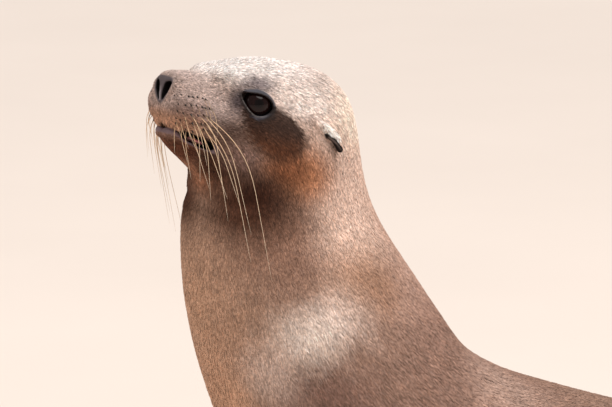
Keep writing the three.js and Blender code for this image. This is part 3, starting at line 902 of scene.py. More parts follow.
# Of each mark: where it is on the left side, and mirrored on the right, on the head as
# [forward, up, aside] or in the row frame as [aside, along Y, up]; its radii, how soft its edge
# is, its colour and strength. The "sun" marks are painted sunlight and sheen, full on the left
# side, which the sun lights, and fainter on the right side.
MARKS = (
    ("row", (60, -300, 500), (120, 190, 110), 0.7, (192, 158, 142), 0.75),  # withers
    ("row", (90, -220, 350), (190, 240, 150), 0.6, (145, 113, 99), 0.85),  # back
    ("sun", (104, -176, 332), (66, 80, 60), 0.8, (178, 149, 135), 0.8),  # edge of the back, painted sunlight along it
    ("row", (60, 250, 200), (240, 420, 260), 0.5, (130, 101, 87), 0.8),  # hind parts
    ("row", (0, 0, 0), (260, 560, 90), 0.6, (150, 118, 98), 0.7),  # belly
    ("row", (20, -545, 400), (90, 70, 190), 0.6, (186, 148, 124), 0.8),  # chest
    ("sun", (0, -620, 325), (90, 68, 205), 0.7, (244, 194, 156), 0.9),  # front of the chest, painted light on its front edge
    ("row", (96, -478, 530), (60, 80, 70), 0.8, (148, 112, 94), 0.8),  # side of the neck
    ("sun", (94, -396, 536), (66, 56, 66), 0.8, (226, 195, 178), 0.9),  # pale streak down the neck, painted sunlight
    ("row", (112, -440, 345), (60, 70, 46), 0.8, (124, 94, 84), 0.8),  # below the shoulder
    ("sun", (126, -420, 450), (44, 38, 30), 0.9, (252, 230, 218), 0.82),  # band of painted sunlit sheen on the shoulder
    ("sun", (119, -463, 421), (46, 42, 34), 0.9, (252, 234, 222), 0.86),
    ("sun", (92, -502, 376), (44, 38, 38), 0.9, (222, 197, 184), 0.72),
    ("row", (18, -540, 322), (50, 50, 62), 0.9, (208, 163, 134), 0.7),  # foot of the chest
    ("row", (114, -385, 478), (46, 56, 44), 0.9, (172, 128, 100), 0.75),  # tan patch
    ("head", (-118, -40, 70), (76, 80, 70), 0.7, (222, 192, 176), 0.87),  # nape: pale fur with painted rim light
    # the back of the head: painted rim light
    ("head", (-126, 4, 50), (50, 40, 70), 0.8, (250, 226, 208), 0.85),
    ("head", (4, 44, 0), (136, 40, 90), 0.7, (238, 226, 221), 0.95),  # top of the head
    ("head", (-52, 14, 66), (52, 30, 34), 0.7, (236, 218, 209), 0.87),  # temple: pale fur with painted sunlight
    ("head", (78, -3, 0), (52, 30, 70), 0.5, (184, 163, 155), 0.9),  # muzzle
    ("head", (76, -24, 30), (40, 16, 30), 0.7, (144, 118, 110), 0.8),  # whisker pads
    ("head", (42, -14, 38), (30, 24, 34), 0.7, (188, 168, 161), 0.8),  # cheek
    ("head", (34, -40, 40), (34, 22, 32), 0.7, (84, 64, 57), 0.88),  # below the cheek: painted shadow of the whiskers over the fur
    ("head", (6, 23, 44), (24, 11, 18), 0.8, (106, 94, 97), 0.82),  # over the eye
    ("head", (25, 1, 38), (14, 20, 16), 0.8, (66, 57, 62), 0.9),  # before the eye
    ("head", (32, 31, 30), (18, 10, 18), 0.8, (250, 238, 233), 0.8),  # brow
    ("head", (86, 21, 14), (20, 8, 18), 0.8, (166, 146, 140), 0.6),  # bridge of the nose
    ("head", (90, -34, 0), (34, 15, 50), 0.6, (184, 140, 114), 0.85),  # upper lips
    ("head", (72, -64, 0), (48, 22, 46), 0.6, (88, 46, 28), 0.93),  # chin: dark fur with painted shade under the head
    ("head", (40, -94, 0), (34, 22, 40), 0.7, (172, 116, 86), 0.8),  # under the jaw
    ("head", (36, -78, 30), (34, 26, 32), 0.7, (50, 25, 14), 0.94),  # side of the jaw: dark fur with painted shade under the jaw
    ("head", (14, -64, 54), (30, 20, 28), 0.7, (130, 103, 94), 0.85),  # behind the mouth
    ("head", (-48, -70, 86), (46, 34, 42), 0.7, (181, 120, 82), 0.86),  # side of the head
    ("head", (-30, -66, 80), (30, 20, 34), 0.7, (134, 84, 57), 0.85),  # below the dark patch
    ("head", (2, -120, 50), (68, 42, 60), 0.8, (78, 44, 28), 0.92),  # throat: dark fur with painted shade under the jaw
    # the darkest of the throat: more painted shade under the jaw
    ("head", (-8, -98, 66), (44, 30, 40), 0.9, (52, 24, 12), 0.88),
)
DARK_PATCH = softened([
    (22, -6), (20, -26), (9, -44), (-7, -56), (-24, -58), (-40, -50), (-49, -38), (-48, -24),
    (-38, -11), (-25, -3), (-12, 0), (2, -4), (14, -2),
])  # [forward, up], below and behind the eye
PATCH_COLOURS = ((51, 31, 23), (96, 58, 38))  # the dark patch, and its lower end
FLIPPER_COLOUR = (74, 58, 50)
# The mouth and the hole are painted shade; the septum and ear rim painted highlights.
FACE_COLOURS = {  # of the face's masks, from the first one laid on to the last
    "lip edge": (66, 50, 42), "lower lip": (126, 106, 110), "mouth": (12, 8, 8),
    "pad": (104, 95, 98), "septum": (146, 137, 141), "philtrum": (66, 50, 42), "hole": (9, 6, 6),
    "ear rim": (252, 238, 228), "ear inside": (26, 19, 17), "ear sheen": (104, 90, 84),
    "lid dark": (40, 31, 29), "pouch": (98, 97, 108), "upper lid": (86, 86, 94),
    "lid rim": (112, 106, 104),
}
FACE_BANDS = (  # masks along a path on the head, and the distances over which they fade
    ("lower lip", np.array(LOWER_LIP) + (0, 2.0, 1.0), 4.7, 6.5), ("lip edge", UPPER_LIP, 1.6, 4.0),
    # the septum's band is a painted highlight
    ("philtrum", PHILTRUM, 0.8, 2.2), ("septum", SEPTUM, 0.8, 2.4), ("ear rim", EAR, 4.0, 8.0),
    ("ear sheen", EAR_SHEEN, 0.6, 1.8),
)


def linear(colour):
    """A colour given as 0 to 255 on screen, as light."""
    c = np.asarray(colour, float) / 255
    return np.where(c <= 0.04045, c / 12.92, ((c + 0.055) / 1.055) ** 2.4)


def mixed(colours, other, weight):
    return colours + (linear(other) - colours) * weight[:, None]


def path_distance(points, path):
    return near_path(points, np.asarray(path, float))[0]


def face_masks(points, closed):
    """Weights of the bare places of the face, and of its openings."""
    folded = folded_head(points)
    a, h, w = folded.T
    masks = {name: fading(near, far, path_distance(folded, path))
             for name, path, near, far in FACE_BANDS}
    masks["lower lip"] *= smooth_step(30, 44, a)
    # The ear rim: pale fur with a painted highlight along its top
    masks["ear rim"] *= smooth_step(-60, -74, a)
    roll, along = near_path(folded, np.array(EAR_ROLL, float))
    masks["ear inside"] = fading(3.4, 4.4, roll - 2.4 * along)
    masks["ear inside"] *= smooth_step(-0.4, 1.0, path_distance(folded, EAR) - roll)
    masks["ear sheen"] *= masks["ear inside"]
    mouth = smooth_step(20, 32, a) * smooth_step(-82, -74, h) * smooth_step(-26, -32, h)
    # Painted shade: the mouth's slot goes near black as it deepens
    masks["mouth"] = smooth_step(1.8, 4.0, -closed) * mouth
    front = smooth_step(88, 93, a)
    masks["pad"] = fading(-1.0, 1.4, outline_distance(w, h, NOSE_PAD)) * front
    # Painted shade: the nostrils go near black as they deepen
    hole = fading(0.8, 2.0, outline_distance(w, h, NOSTRIL))
    masks["hole"] = hole * smooth_step(0.4, 1.8, -closed) * smooth_step(78, 82, a) * (h > -16)
    patch = outline_distance(a, h, DARK_PATCH) + np.maximum(0, 26 - w)
    patch += 1.8 * np.sin(a * 0.9 + h * 0.5) + 1.4 * np.sin(a * 0.5 - h * 1.3)
    soft = 3.5 + 6.0 * smooth_step(-15, -45, h)
    masks["patch"] = fading(-soft, soft, patch)
    return {**masks, **lid_masks(points)}


def lid_masks(points):
    """Weights of the lids and of the places round them."""
    found = []
    for side in (1, -1):
        b, u, out = eye_view(points, side)
        d = np.where(out > 2, outline_distance(b, u, LID_LINE) - LID["wider"], 99.0)
        above = u - (12.0 - (b + 18.0) * 0.46)  # over the line from corner to corner
        upper = smooth_step(-0.5, 2.0, above)
        lower = (1 - upper) * fading(3.0, 11.0, b)
        band = 6.2 - 0.16 * np.abs(b)
        below = np.hypot((b + 0.5) / 13.0, (u + 16.4 - 0.02 * b * b) / 2.4) + (d > 90)
        found.append({
            # the upper lid: bare skin, its blue-grey partly a painted sheen
            "upper lid": upper * smooth_step(0.9, 1.8, d) * fading(band - 1, band + 1, d),
            "lid dark": fading(3.5, 8.0, d + 3.0 * upper),
            "lid rim": lower * smooth_step(0.3, 0.8, d) * fading(1.3, 2.1, d),
            "pouch": 0.8 * fading(0.3, 1.3, below),
            "eye": fading(2.0, 5.5, d),
        })
    return {name: np.maximum(mask, found[1][name]) for name, mask in found[0].items()}


def markings(points, closed):
    """The colour at each place, how bare the skin is there, and how the coat lies."""
    ahead, up, _ = row_to_head(points).T
    row = np.abs(points) * (1, 0, 0) + points * (0, 1, 1)
    # Painted sunlight: the "sun" marks at full strength on the left side, which the sun lights,
    # fainter on the right
    sunny = 0.4 + 0.6 * smooth_step(-60, 30, points[:, 0])
    kinds = {"head": (folded_head(points), 1), "row": (row, 1), "sun": (row, sunny)}
    colours = np.tile(linear(BASE), (len(points), 1))
    for on, centre, radii, soft, colour, strength in MARKS:
        own, share = kinds[on]
        away = np.linalg.norm((own - centre) / radii, axis=1)
        weight = strength * share * fading(1 - soft, 1 + soft * 0.6, away)
        colours = mixed(colours, colour, weight)
    found = lie_of(points)
    blade = blade_share(found)
    colours = mixed(colours, FLIPPER_COLOUR, blade * 0.92)
    masks = face_masks(points, closed)
    face = ahead > -130
    for colour, share in zip(PATCH_COLOURS, (0.95, smooth_step(-22, -56, up))):
        colours = mixed(colours, colour, masks["patch"] * face * share)
    for name, colour in FACE_COLOURS.items():
        colours = mixed(colours, colour, masks[name] * face)
    whole = [masks[name] for name in ("mouth", "pad", "hole", "lower lip", "eye", "upper lid")]
    bare = np.maximum.reduce([*whole, masks["ear inside"] * 0.9, masks["lip edge"] * 0.3]) * face
    limb = found["guide"] > 0
    start = blade_start(found)
    tips = np.where(limb, smooth_step(start + 60, start + 170, found["along"]), 0.0)
    under = limb & (points[:, 2] < 9)
    bare = np.maximum.reduce([bare, tips, under * blade])
    return {"colour": colours, "bare": bare, "lie": found, "blade": blade}


# ---- Materials -----------------------------------------------------------------------------------


class Nodes:
    """A material's nodes, made and linked in few words."""

    def __init__(self, name):
        self.material = bpy.data.materials.new(name)
        self.material.use_nodes = True
        self.tree = self.material.node_tree
        self.tree.nodes.clear()
        self.shader = self.add("ShaderNodeBsdfPrincipled")
        self.add("ShaderNodeOutputMaterial", {"Surface": self.shader.outputs[0]})

    def add(self, kind, inputs=None, **values):
        """A node with some of its own values, and with inputs that are values or sockets."""
        node = self.tree.nodes.new(kind)
        for key, value in values.items():
            setattr(node, key, value)
        self.feed(node, inputs or {})
        return node

    def feed(self, node, inputs):
        for key, value in inputs.items():
            if isinstance(value, bpy.types.NodeSocket):
                self.tree.links.new(value, node.inputs[key])
            else:
                node.inputs[key].default_value = value

    def set(self, **inputs):
        """Sets the shader's inputs."""
        self.feed(self.shader, {key.replace("_", " "): value for key, value in inputs.items()})

    def attribute(self, name, output):
        return self.add("ShaderNodeAttribute", attribute_name=name).outputs[output]

    def place(self, scale=(1, 1, 1), source=None):
        """Coordinates times a scale: an object's own, or an attribute's."""
        source = source or self.add("ShaderNodeTexCoord").outputs["Object"]
        return self.add("ShaderNodeMapping", {"Scale": scale, "Vector": source}).outputs[0]

    def noise(self, vector, scale, detail=4.0, rough=0.55):
        inputs = {"Vector": vector, "Scale": scale, "Detail": detail, "Roughness": rough}
        return self.add("ShaderNodeTexNoise", inputs).outputs["Fac"]

    def ramp(self, source, low, high, start=0.0, end=1.0):
        """Maps a value from one span to another."""
        spans = {"From Min": low, "From Max": high, "To Min": start, "To Max": end}
        return self.add("ShaderNodeMapRange", {"Value": source, **spans}).outputs["Result"]

    def math(self, operation, first, second):
        return self.add("ShaderNodeMath", {0: first, 1: second}, operation=operation).outputs[0]

    def product(self, *values):
        first, *others = values
        for other in others:
            first = self.math("MULTIPLY", first, other)
        return first

    def parts(self, vector):
        return tuple(self.add("ShaderNodeSeparateXYZ", {0: vector}).outputs)

    def shaded(self, colour, amount):
        """A colour times an amount at each place."""
        node = self.add("ShaderNodeVectorMath", {0: colour, "Scale": amount}, operation="SCALE")
        return node.outputs[0]

    def blended(self, share, first, second):
        inputs = {0: share, 6: first, 7: second}
        return self.add("ShaderNodeMix", inputs, data_type="RGBA").outputs[2]

    def bump(self, height, strength, distance):
        inputs = {"Height": height, "Strength": strength, "Distance": distance}
        self.set(Normal=self.add("ShaderNodeBump", inputs).outputs[0])


def colour_of(rgb):
    return (*[float(v) for v in linear(rgb)], 1.0)


def coat_material(name, streaks):
    """Fur's colour with mottling and fine streaks along its lie, over bare skin's creases."""
    n = Nodes(name)
    colour, bare = n.attribute("Coat", "Color"), n.attribute("Bare", "Fac")
    lie = n.attribute("Lie", "Vector")
    across, blade, _ = n.parts(n.attribute("Digit", "Vector"))
    middle = n.noise(n.place(), 45.0, 4.0)
    streak = n.noise(n.place((0.9, 0.26, 0.0), lie), 1.0, 3.0, 0.7)
    fleck = n.noise(n.place((0.44, 0.22, 0.0), lie), 1.0, 3.0, 0.75)
    mottle = n.product(
        n.ramp(n.noise(n.place(), 9.0, 3.0), 0.3, 0.7, 0.88, 1.12),
        n.ramp(middle, 0.3, 0.7, 0.9, 1.1),
        n.ramp(n.noise(n.place(), 290.0, 3.0, 0.7), 0.34, 0.66, 0.8, 1.2),
    )
    _, along, limb = n.parts(lie)
    amount = n.ramp(n.math("ADD", along, limb), 130, 330, 0.34, 0.17)  # less behind the head
    spread = n.product(n.ramp(fleck, 0.34, 0.66, -1, 1), amount)
    streaked = n.ramp(streak, 0.3, 0.7, 1 - streaks, 1 + streaks)
    fine = n.product(streaked, n.math("ADD", spread, 1.0))
    furred = n.shaded(colour, n.product(mottle, fine))
    ridges = n.product(n.math("SINE", n.product(across, 5 * math.pi), 0), blade)
    # Bare skin's tone: a mottle, and on the flipper blades painted shade, darker between the digit
    # ridges
    tone_and_groove_shade = n.product(n.ramp(middle, 0.3, 0.7, 0.8, 1.2), n.ramp(ridges, -1, 1, 0.72, 1.2))
    rough = n.ramp(bare, 0, 1, 0.72, 0.42)
    n.set(
        Base_Color=n.blended(bare, furred, n.shaded(colour, tone_and_groove_shade)),
        Roughness=n.math("ADD", rough, n.ramp(fleck, 0.3, 0.7, -0.06, 0.06)),
        Specular_IOR_Level=0.14,
    )
    pores = n.add("ShaderNodeTexVoronoi", {"Scale": 900.0, "Vector": n.place()},
                  feature="DISTANCE_TO_EDGE")
    creases = n.ramp(pores.outputs["Distance"], 0.0, 0.25)
    hairs = n.math("ADD", streak, fleck)
    height = n.add("ShaderNodeMix", {0: bare, 2: hairs, 3: creases}, data_type="FLOAT").outputs[0]
    n.bump(n.math("ADD", height, n.product(ridges, 3.0)), 0.6, 0.001)
    return n.material


def toned_material(name, tones, grain, scale=(1, 1, 1), bump=None, **shading):
    """Two tones, or the mesh's own colours at two strengths, blended by a noise."""
    n = Nodes(name)
    noise = n.noise(n.place(scale), *grain)
    if isinstance(tones[0], tuple):
        colour = n.blended(n.ramp(noise, 0.3, 0.7), *[colour_of(tone) for tone in tones])
    else:
        colour = n.shaded(n.attribute("Coat", "Color"), n.ramp(noise, 0.3, 0.7, *tones))
    n.set(Base_Color=colour, **shading)
    if bump:
        strength, distance, *other = bump
        n.bump(n.noise(n.place(), *other) if other else noise, strength, distance)
    return n.material


# ---- Pieces --------------------------------------------------------------------------------------


def give(mesh, name, values, kind="FLOAT"):
    """Stores values for each point of a mesh."""
    field = {"FLOAT": "value", "FLOAT_VECTOR": "vector", "FLOAT_COLOR": "color"}[kind]
    layer = mesh.attributes.new(name, kind, "POINT")
    if kind == "FLOAT_COLOR":
        values = np.hstack([values, np.ones((len(values), 1))])
    layer.data.foreach_set(field, np.ascontiguousarray(values, np.float32).ravel())


def piece(name, points, faces, material, slot, replaces=()):
    """An object from points in millimetres, riding on the root."""
    mesh = mesh_from(name, points * MM, faces)
    mesh.shade_smooth()
    mesh.materials.append(material)
    made = added(name, mesh)
    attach(made, "root")
    if replaces:
        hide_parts(*replaces)
    return made


def lie_coordinates(found):
    """Places across and along the coat, in millimetres, for streaks."""
    return np.stack([found["angle"] * found["half"], found["along"], found["guide"] * 500.0], 1)


def make_skin(field):
    points, faces = draw_skin(field)
    marks = markings(points, field.sample(points, field.mouth_closed))
    skin = piece("skin", points, faces, coat_material("skin_and_fur", 0.22), "fur",
                 replaces=HEAD_NODES + ("neck", "trunk", "tail") + FLIPPERS)
    give(skin.data, "Coat", marks["colour"], "FLOAT_COLOR")
    give(skin.data, "Bare", marks["bare"])
    give(skin.data, "Lie", lie_coordinates(marks["lie"]), "FLOAT_VECTOR")
    digit = np.stack([marks["lie"]["across"], marks["blade"], np.zeros(len(points))], 1)
    give(skin.data, "Digit", digit, "FLOAT_VECTOR")
    return points, faces, marks


def bands(rings, around):
    """Between rings of points: each cell's corners a, b on one ring and c, d on the next."""
    ring, k = np.divmod(np.arange((rings - 1) * around), around)
    a, b = ring * around + k, ring * around + (k + 1) % around
    return a, b, a + around, b + around


def ball(rings=28, around=48):
    """A unit ball whose pole looks along +Z, with finer rings near it."""
    polar = np.linspace(0, math.pi, rings + 1)[1:-1]
    turn = np.arange(around) * 2 * math.pi / around
    p, t = np.meshgrid(polar, turn, indexing="ij")
    body = np.stack([np.sin(p) * np.cos(t), np.sin(p) * np.sin(t), np.cos(p)], -1).reshape(-1, 3)
    a, b, c, d = bands(rings - 1, around)
    first, after = a[:around], b[:around]
    last, top, bottom = len(body) - around, len(body), len(body) + 1
    faces = triangles(
        (a, c, d), (a, d, b), (top, first, after), (bottom, last + after, last + first)
    )
    return np.vstack([body, [(0, 0, 1), (0, 0, -1)]]), faces


EYE_COLOURS = ((0.0, (12, 6, 6)), (0.24, (14, 8, 8)), (0.34, (30, 14, 13)), (0.62, (30, 14, 13)),
               (0.76, (20, 11, 11)), (1.0, (18, 12, 12)))  # by distance from the gaze


def make_eyes():
    shape, faces = ball()
    material = toned_material(
        "eye_glossy", (0.75, 1.3), (5.0, 4.0), (60, 60, 60), Roughness=0.1, IOR=1.35,
        Specular_IOR_Level=0.3, Coat_Weight=0.2, Coat_Roughness=0.02, Coat_IOR=1.3,
    )
    stops, tones = zip(*EYE_COLOURS)
    aside = np.hypot(shape[:, 0], shape[:, 1])
    colour = curve(np.where(shape[:, 2] > 0, aside, 1.0), stops, linear(tones))
    cornea = 1 + 0.012 * np.exp(-((aside / 0.5) ** 4)) * (shape[:, 2] > 0)
    for side, name in EYES.items():
        gaze, _, up = eye_axes(side)
        around = (shape * cornea[:, None]) @ np.array([np.cross(up, gaze), up, gaze])
        eye = piece(f"{name}_ball", EYE_AT[side] + EYE_RADIUS * around, faces, material, "eye",
                    replaces=(name,))
        give(eye.data, "Coat", colour, "FLOAT_COLOR")


def make_small_pieces():
    flesh = toned_material("tongue_wet", ((226, 120, 128), (246, 170, 172)), (90.0, 3.0),
                           bump=(0.4, 0.0005, 700.0, 3.0), Roughness=0.3, Subsurface_Weight=0.1)
    piece("tongue_flesh", *smooth_solid("tongue"), flesh, "tongue", replaces=("tongue",))
    horn = toned_material("claw_horn", ((48, 38, 32), (98, 80, 66)), (1.0, 5.0), (300, 300, 60),
                          bump=(0.3, 0.0004), Roughness=0.38)
    for name in CLAWS:
        piece(f"{name}_horn", *smooth_solid(name), horn, "claw", replaces=(name,))


# Whiskers: rows on each cheek, each from its front root to its rear root as [forward, up, aside],
# how many, and the length of the first and the last
WHISKER_ROWS = (
    ((103, -5.5, 22), (67, -4, 32.5), 7, 1.6, 17),
    ((100, -13, 26), (62, -14, 35.5), 7, 1.6, 34),
    ((99, -21, 25), (64, -24, 37), 6, 7, 205),
    ((97, -28, 23), (66, -32, 36), 7, 30, 160),
    ((93, -34, 20), (66, -39, 34), 6, 34, 104),
)
WHISKER = {"root": 0.42, "tip": 0.07, "sides": 5, "steps": 18, "seed": 7}
BULB = {"radius": 1.3, "length": 2.4}  # the dark follicle that each grows from
WHISKER_COLOURS = ((34, 22, 17), (230, 192, 150), (250, 232, 208))


def tube(path, radii, sides):
    """Points and triangles of a tapering tube along a path."""
    run = unit(np.gradient(path, axis=0))
    across = unit(np.cross(run, (0.3, 0.2, 1.0)))
    over = np.cross(run, across)
    turn = (np.arange(sides) * 2 * math.pi / sides)[None, :, None]
    ring = across[:, None] * np.cos(turn) + over[:, None] * np.sin(turn)
    points = (path[:, None] + ring * radii[:, None, None]).reshape(-1, 3)
    a, b, c, d = bands(len(path), sides)
    k, last = np.arange(1, sides - 1), len(points) - sides
    return points, triangles((a, b, d), (a, d, c), (0, k + 1, k), (last, last + k, last + k + 1))


def whisker_path(field, root, side, length, chance):
    """Out from the cheek and back, then down in a long curve."""
    start = onto(field, head_to_row([root]))
    out = unit(field.slope(start)[0])
    down, back = np.array([0, 0, -1.0]), -FORWARD
    first = unit(out * 0.8 + back * 0.3 + down * 0.5 + chance.normal(0, 0.07, 3))
    fall = unit(down * 1.0 + back * (0.26 + chance.normal(0, 0.14)) + ASIDE * side * 0.06)
    steps = np.linspace(0, 1, WHISKER["steps"]) ** 1.3
    bend = smooth_step(0.0, 0.6, steps)[:, None]
    heading = unit(first * (1 - bend) + fall * bend)
    stretch = np.diff(steps, prepend=0)[:, None] * length
    return start[0] - out * 0.8 + np.cumsum(heading * stretch, axis=0), steps


def make_whiskers(field):
    chance = np.random.default_rng(WHISKER["seed"])
    material = toned_material("whisker_horn", (0.85, 1.15), (1.0, 2.0), (40, 40, 400),
                              bump=(0.1, 0.0001), Roughness=0.35)
    tones = linear(WHISKER_COLOURS)
    for side, name in ((1, "left"), (-1, "right")):
        parts, colours = [], []
        for front, rear, count, short, long in WHISKER_ROWS:
            for share in np.arange(count) / (count - 1):
                root = np.array(front) + (np.array(rear) - front) * share + chance.normal(0, 0.8, 3)
                length = (short + (long - short) * share**1.3) * chance.uniform(0.82, 1.12)
                path, steps = whisker_path(field, root * (1, 1, side), side, length, chance)
                far = steps * length
                thick = 0.75 + 0.25 * min(1, length / 100)
                radii = (WHISKER["root"] * (1 - steps) ** 0.7 + WHISKER["tip"]) * thick
                bulb = np.sqrt(np.clip(1 - (far / BULB["length"]) ** 2, 0, 1))
                bulb = BULB["radius"] * chance.uniform(0.8, 1.2) * bulb
                parts.append(tube(path, np.maximum(radii, bulb), WHISKER["sides"]))
                ends = (BULB["length"], BULB["length"] + 8, max(length, 20))
                colours.append(curve(np.repeat(far, WHISKER["sides"]), ends, tones))
        made = piece(f"whiskers_{name}", *joined(parts), material, "fur")
        give(made.data, "Coat", np.vstack(colours), "FLOAT_COLOR")


# ---- The coat ------------------------------------------------------------------------------------

TUFTS = {"seed": 11, "cover": 1.7, "most": 345000, "patch": 0.0015}
# along the body from the nose: a tuft's length; its width is a share of that
TUFT_LENGTH = ((0, 3.2), (60, 4.0), (120, 5.0), (200, 6.4), (320, 8.0), (520, 10.5), (1600, 12.0))
TUFT_WIDTH = 0.18
TUFT_TURN = 0.22
FLIPPER_TUFT = 6.0
TUFT_WAIST, TUFT_RIDGE = 0.36, 0.42  # where it is widest and highest, as shares of its length
TUFT_TONES = ((0, 150, 340), (0.42, 0.3, 0.13))  # how much their shade varies, along the body
ON_FLIPPER = 1e6  # added to a place along a flipper, to tell it from the body's
COAT_PARTS = (("head", 0, 190), ("neck", 190, 480), ("body", 480, 840), ("rear", 840, 2000),
              ("flippers", ON_FLIPPER, 2 * ON_FLIPPER))


def tuft_lengths(found):
    """A tuft's length by where it grows."""
    far, size = np.array(TUFT_LENGTH).T
    length = np.interp(found["along"], far, size)
    return np.where(found["guide"] > 0, FLIPPER_TUFT, length)


def grow_roots(points, faces, marks, chance):
    """Places of tufts on the skin, closer together where they are small."""
    a, b, c = (points[faces[:, k]] for k in range(3))
    area = np.linalg.norm(np.cross(b - a, c - a), axis=1) / 2
    size = tuft_lengths(marks["lie"])[faces].mean(1)
    bare = marks["bare"][faces].mean(1)
    wanted = area * TUFTS["cover"] / (size * size * TUFT_WIDTH * 0.55)
    wanted = wanted * fading(0.25, 0.6, bare)
    wanted *= min(1.0, TUFTS["most"] / wanted.sum())
    number = np.floor(wanted + chance.random(len(wanted))).astype(int)
    face = np.repeat(np.arange(len(faces)), number)
    u, v = chance.random((2, len(face)))
    over = u + v > 1
    u, v = np.where(over, 1 - u, u), np.where(over, 1 - v, v)
    return face, np.stack([1 - u - v, u, v], 1)


def vertex_normals(points, faces):
    a, b, c = (points[corner] for corner in faces.T)
    total = np.zeros_like(points)
    for k, column in enumerate(np.cross(b - a, c - a).T):
        for corner in faces.T:
            total[:, k] += np.bincount(corner, column, len(points))
    return unit(total)


def tuft_points(root, normal, lie, length, width, chance):
    """Five points for each tuft: root, left, right, ridge and tip."""
    count = len(root)
    lie = unit(lie - dot(lie, normal) * normal)
    lie = unit(lie + np.cross(normal, lie) * chance.normal(0, TUFT_TURN, count)[:, None])
    half = np.cross(normal, lie) * width / 2
    lift = (0.03 + 0.09 * chance.random(count))[:, None] * length
    rise = (0.22 + 0.25 * chance.random(count))[:, None]
    waist = root + lie * length * TUFT_WAIST
    return np.stack([
        root - normal * 0.25,
        waist + half + normal * rise * 0.5,
        waist - half + normal * rise * 0.5,
        root + lie * length * TUFT_RIDGE + normal * (rise + width * 0.22),
        root + lie * length + normal * (rise * 0.6 + lift),
    ], 1)


TUFT_FACES = np.array([(0, 3, 1), (0, 2, 3), (1, 3, 4), (3, 2, 4)])
TUFT_PATCH = np.array([(0, -1), (-1, -0.2), (1, -0.2), (0, 0), (0, 1)]) * TUFTS["patch"]


def coat_piece(name, five, colour, spot, lie, material):
    """A piece of coat, with each tuft a small patch at its root's place on the unwrapped skin."""
    count = len(five)
    faces = (np.arange(count)[:, None, None] * 5 + TUFT_FACES[None]).reshape(-1, 3)
    mesh = piece(name, five.reshape(-1, 3), faces, material, "fur").data
    give(mesh, "Coat", np.repeat(colour, 5, axis=0), "FLOAT_COLOR")
    give(mesh, "Bare", np.zeros(count * 5))
    give(mesh, "Lie", np.repeat(lie, 5, axis=0), "FLOAT_VECTOR")
    places = (spot[:, None] + TUFT_PATCH[None]).reshape(-1, 2)
    layer = mesh.uv_layers.new(name="OFBake")
    layer.data.foreach_set("uv", places[faces.ravel()].astype(np.float32).ravel())


def lip_fringe(root):
    """How much a tuft is part of the hair that hangs over the edge of the upper lip."""
    folded = folded_head(root)
    return smooth_step(60, 86, folded[:, 0]) * fading(2.0, 8.0, path_distance(folded, UPPER_LIP))


def make_coat(points, faces, marks):
    chance = np.random.default_rng(TUFTS["seed"])
    face, shares = grow_roots(points, faces, marks, chance)
    corners = faces[face]

    def spread(values):
        """Values at the roots, from those at the skin's points."""
        shaped = shares if values.ndim == 1 else shares[..., None]
        return np.sum(values[corners] * shaped, 1)

    root = spread(points)
    normal = unit(spread(vertex_normals(points, faces)))
    found = lie_of(root)
    length = tuft_lengths(found) * chance.uniform(0.75, 1.25, len(root))
    fringe = lip_fringe(root)
    length = (length * (1 - 0.35 * spread(marks["bare"])) * (1 + fringe))[:, None]
    width = length * TUFT_WIDTH * chance.uniform(0.8, 1.25, (len(root), 1))
    hang = found["lie"] + (fringe * 1.6)[:, None] * (-0.2 * FORWARD - (0, 0, 1.0))
    five = tuft_points(root, normal, unit(hang), length, width, chance)
    limb = found["guide"] > 0
    far = np.where(limb, ON_FLIPPER, found["along"])
    tone = 1 + chance.normal(0, 1, (len(root), 1)) * np.interp(far, *TUFT_TONES)[:, None]
    warm = chance.normal(0.0, 0.02, (len(root), 1)) * (1.0, 0.0, -1.0)
    colour = np.clip(spread(marks["colour"]) * np.clip(tone, 0.4, 1.7) * (1 + warm), 0, 1)
    lie = lie_coordinates(found)
    material = coat_material("coat_tufts", 0.12)
    left = root[:, 0] >= np.interp(root[:, 1], (-620, -380), (20, 0))
    place = found["along"] + ON_FLIPPER * limb
    for name, low, high in COAT_PARTS:
        chosen = (place >= low) & (place < high)
        for side, own in (("left", left), ("right", ~left)):
            these = np.flatnonzero(chosen & own)
            v = found["along"][these]
            v = (v - v.min()) / max(np.ptp(v), 1)
            u = found["angle"][these] / math.pi
            hind = found["guide"][these] >= HIND
            u = (u + 1) / 4 + 0.5 * hind if name == "flippers" else np.abs(u)
            spot = 0.01 + 0.98 * np.stack([u, v], 1)
            coat_piece(f"coat_{name}_{side}", five[these], colour[these], spot, lie[these],
                       material)


# ---- Stage, light and camera ---------------------------------------------------------------------

CAMERA = {"azimuth": 62.31, "elevation": 10.48, "away": 4500.0, "lens": 227.6,
          "right": 54.3, "up": -116.3}
FLOOR_COLOUR = (227, 215, 206)
FLOOR_HALF = 30.0  # half its side, in metres
WORLD = {"colour": (1.0, 0.96, 0.93, 1.0), "strength": 0.33}
LIT = np.array([0, -350.0, 400.0])  # what the lights aim at
LIGHTS = (  # name, kind, azimuth, elevation, millimetres away and the rest
    ("overhead", "SUN", 128.0, 66.0, 3000,
     {"energy": 2.85, "angle": math.radians(50), "color": (1.0, 0.97, 0.94)}),
    ("front", "AREA", -18.0, 22.0, 3600,
     {"energy": 26.0, "shape": "DISK", "size": 2.0, "color": (1.0, 0.93, 0.86)}),
    ("behind", "AREA", 170.0, 50.0, 3600,
     {"energy": 25.0, "shape": "DISK", "size": 2.0, "color": (1.0, 0.96, 0.92)}),
)


def outward(azimuth, elevation):
    """The direction towards a place round the object, azimuth 0 being in front of it."""
    a, e = math.radians(azimuth), math.radians(elevation)
    return np.array([math.sin(a) * math.cos(e), -math.cos(a) * math.cos(e), math.sin(e)])


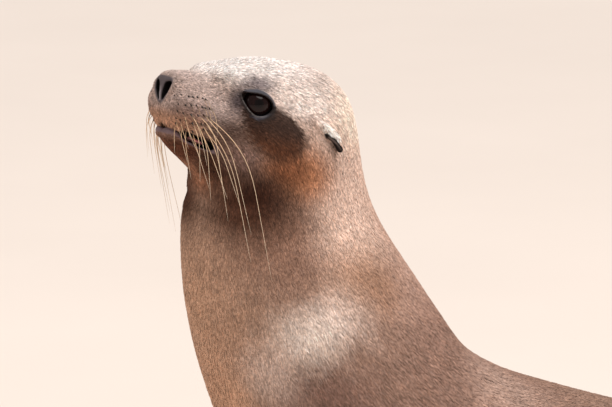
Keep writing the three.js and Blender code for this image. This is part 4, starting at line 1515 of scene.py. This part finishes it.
def aimed(thing, place, target):
    away = unit(np.array(place) - target)
    right = unit(np.cross((0, 0, 1.0), away))
    axes = np.stack([right, np.cross(away, right), away], 1)
    matrix = Matrix([[*axes[r], place[r] * MM] for r in range(3)] + [[0, 0, 0, 1]])
    thing.matrix_world = matrix


def make_camera():
    to = outward(CAMERA["azimuth"], CAMERA["elevation"])
    right = unit(np.cross((0, 0, 1.0), to))
    up = np.cross(to, right)
    eye = EYE_AT[1] + EYE_RADIUS * unit(np.array(GAZE)) @ AXES
    target = eye + CAMERA["right"] * right + CAMERA["up"] * up
    data = bpy.data.cameras.new("camera")
    data.lens, data.sensor_width = CAMERA["lens"], 36.0
    data.clip_start, data.clip_end = 0.1, 200.0
    camera = added("camera", data)
    aimed(camera, target + to * CAMERA["away"], target)
    bpy.context.scene.camera = camera


def make_lights():
    bpy.context.scene.view_settings.view_transform = "Standard"
    world = bpy.data.worlds.new("studio")
    world.use_nodes = True
    background = world.node_tree.nodes["Background"]
    background.inputs["Color"].default_value = WORLD["colour"]
    background.inputs["Strength"].default_value = WORLD["strength"]
    bpy.context.scene.world = world
    for name, kind, azimuth, elevation, away, values in LIGHTS:
        data = bpy.data.lights.new(name, kind)
        for key, value in values.items():
            setattr(data, key, value)
        aimed(added(name, data), LIT + outward(azimuth, elevation) * away, LIT)


def make_floor():
    corners = np.array([(-1, -1, 0), (1, -1, 0), (1, 1, 0), (-1, 1, 0)]) * FLOOR_HALF
    mesh = mesh_from("floor", corners - (0, 0, 0.0004), np.array([(0, 1, 2, 3)]))
    tones = (FLOOR_COLOUR, tuple(c + 3 for c in FLOOR_COLOUR))
    mesh.materials.append(toned_material("floor_plain", tones, (1.3, 3.0), Roughness=0.9))
    floor = added("floor", mesh)


# ---- Making it all -------------------------------------------------------------------------------


def main():
    field = body_field()
    shape_skin(field)
    points, faces, marks = make_skin(field)
    make_eyes()
    make_small_pieces()
    make_whiskers(field)
    make_coat(points, faces, marks)
    make_floor()
    make_lights()
    make_camera()


main()
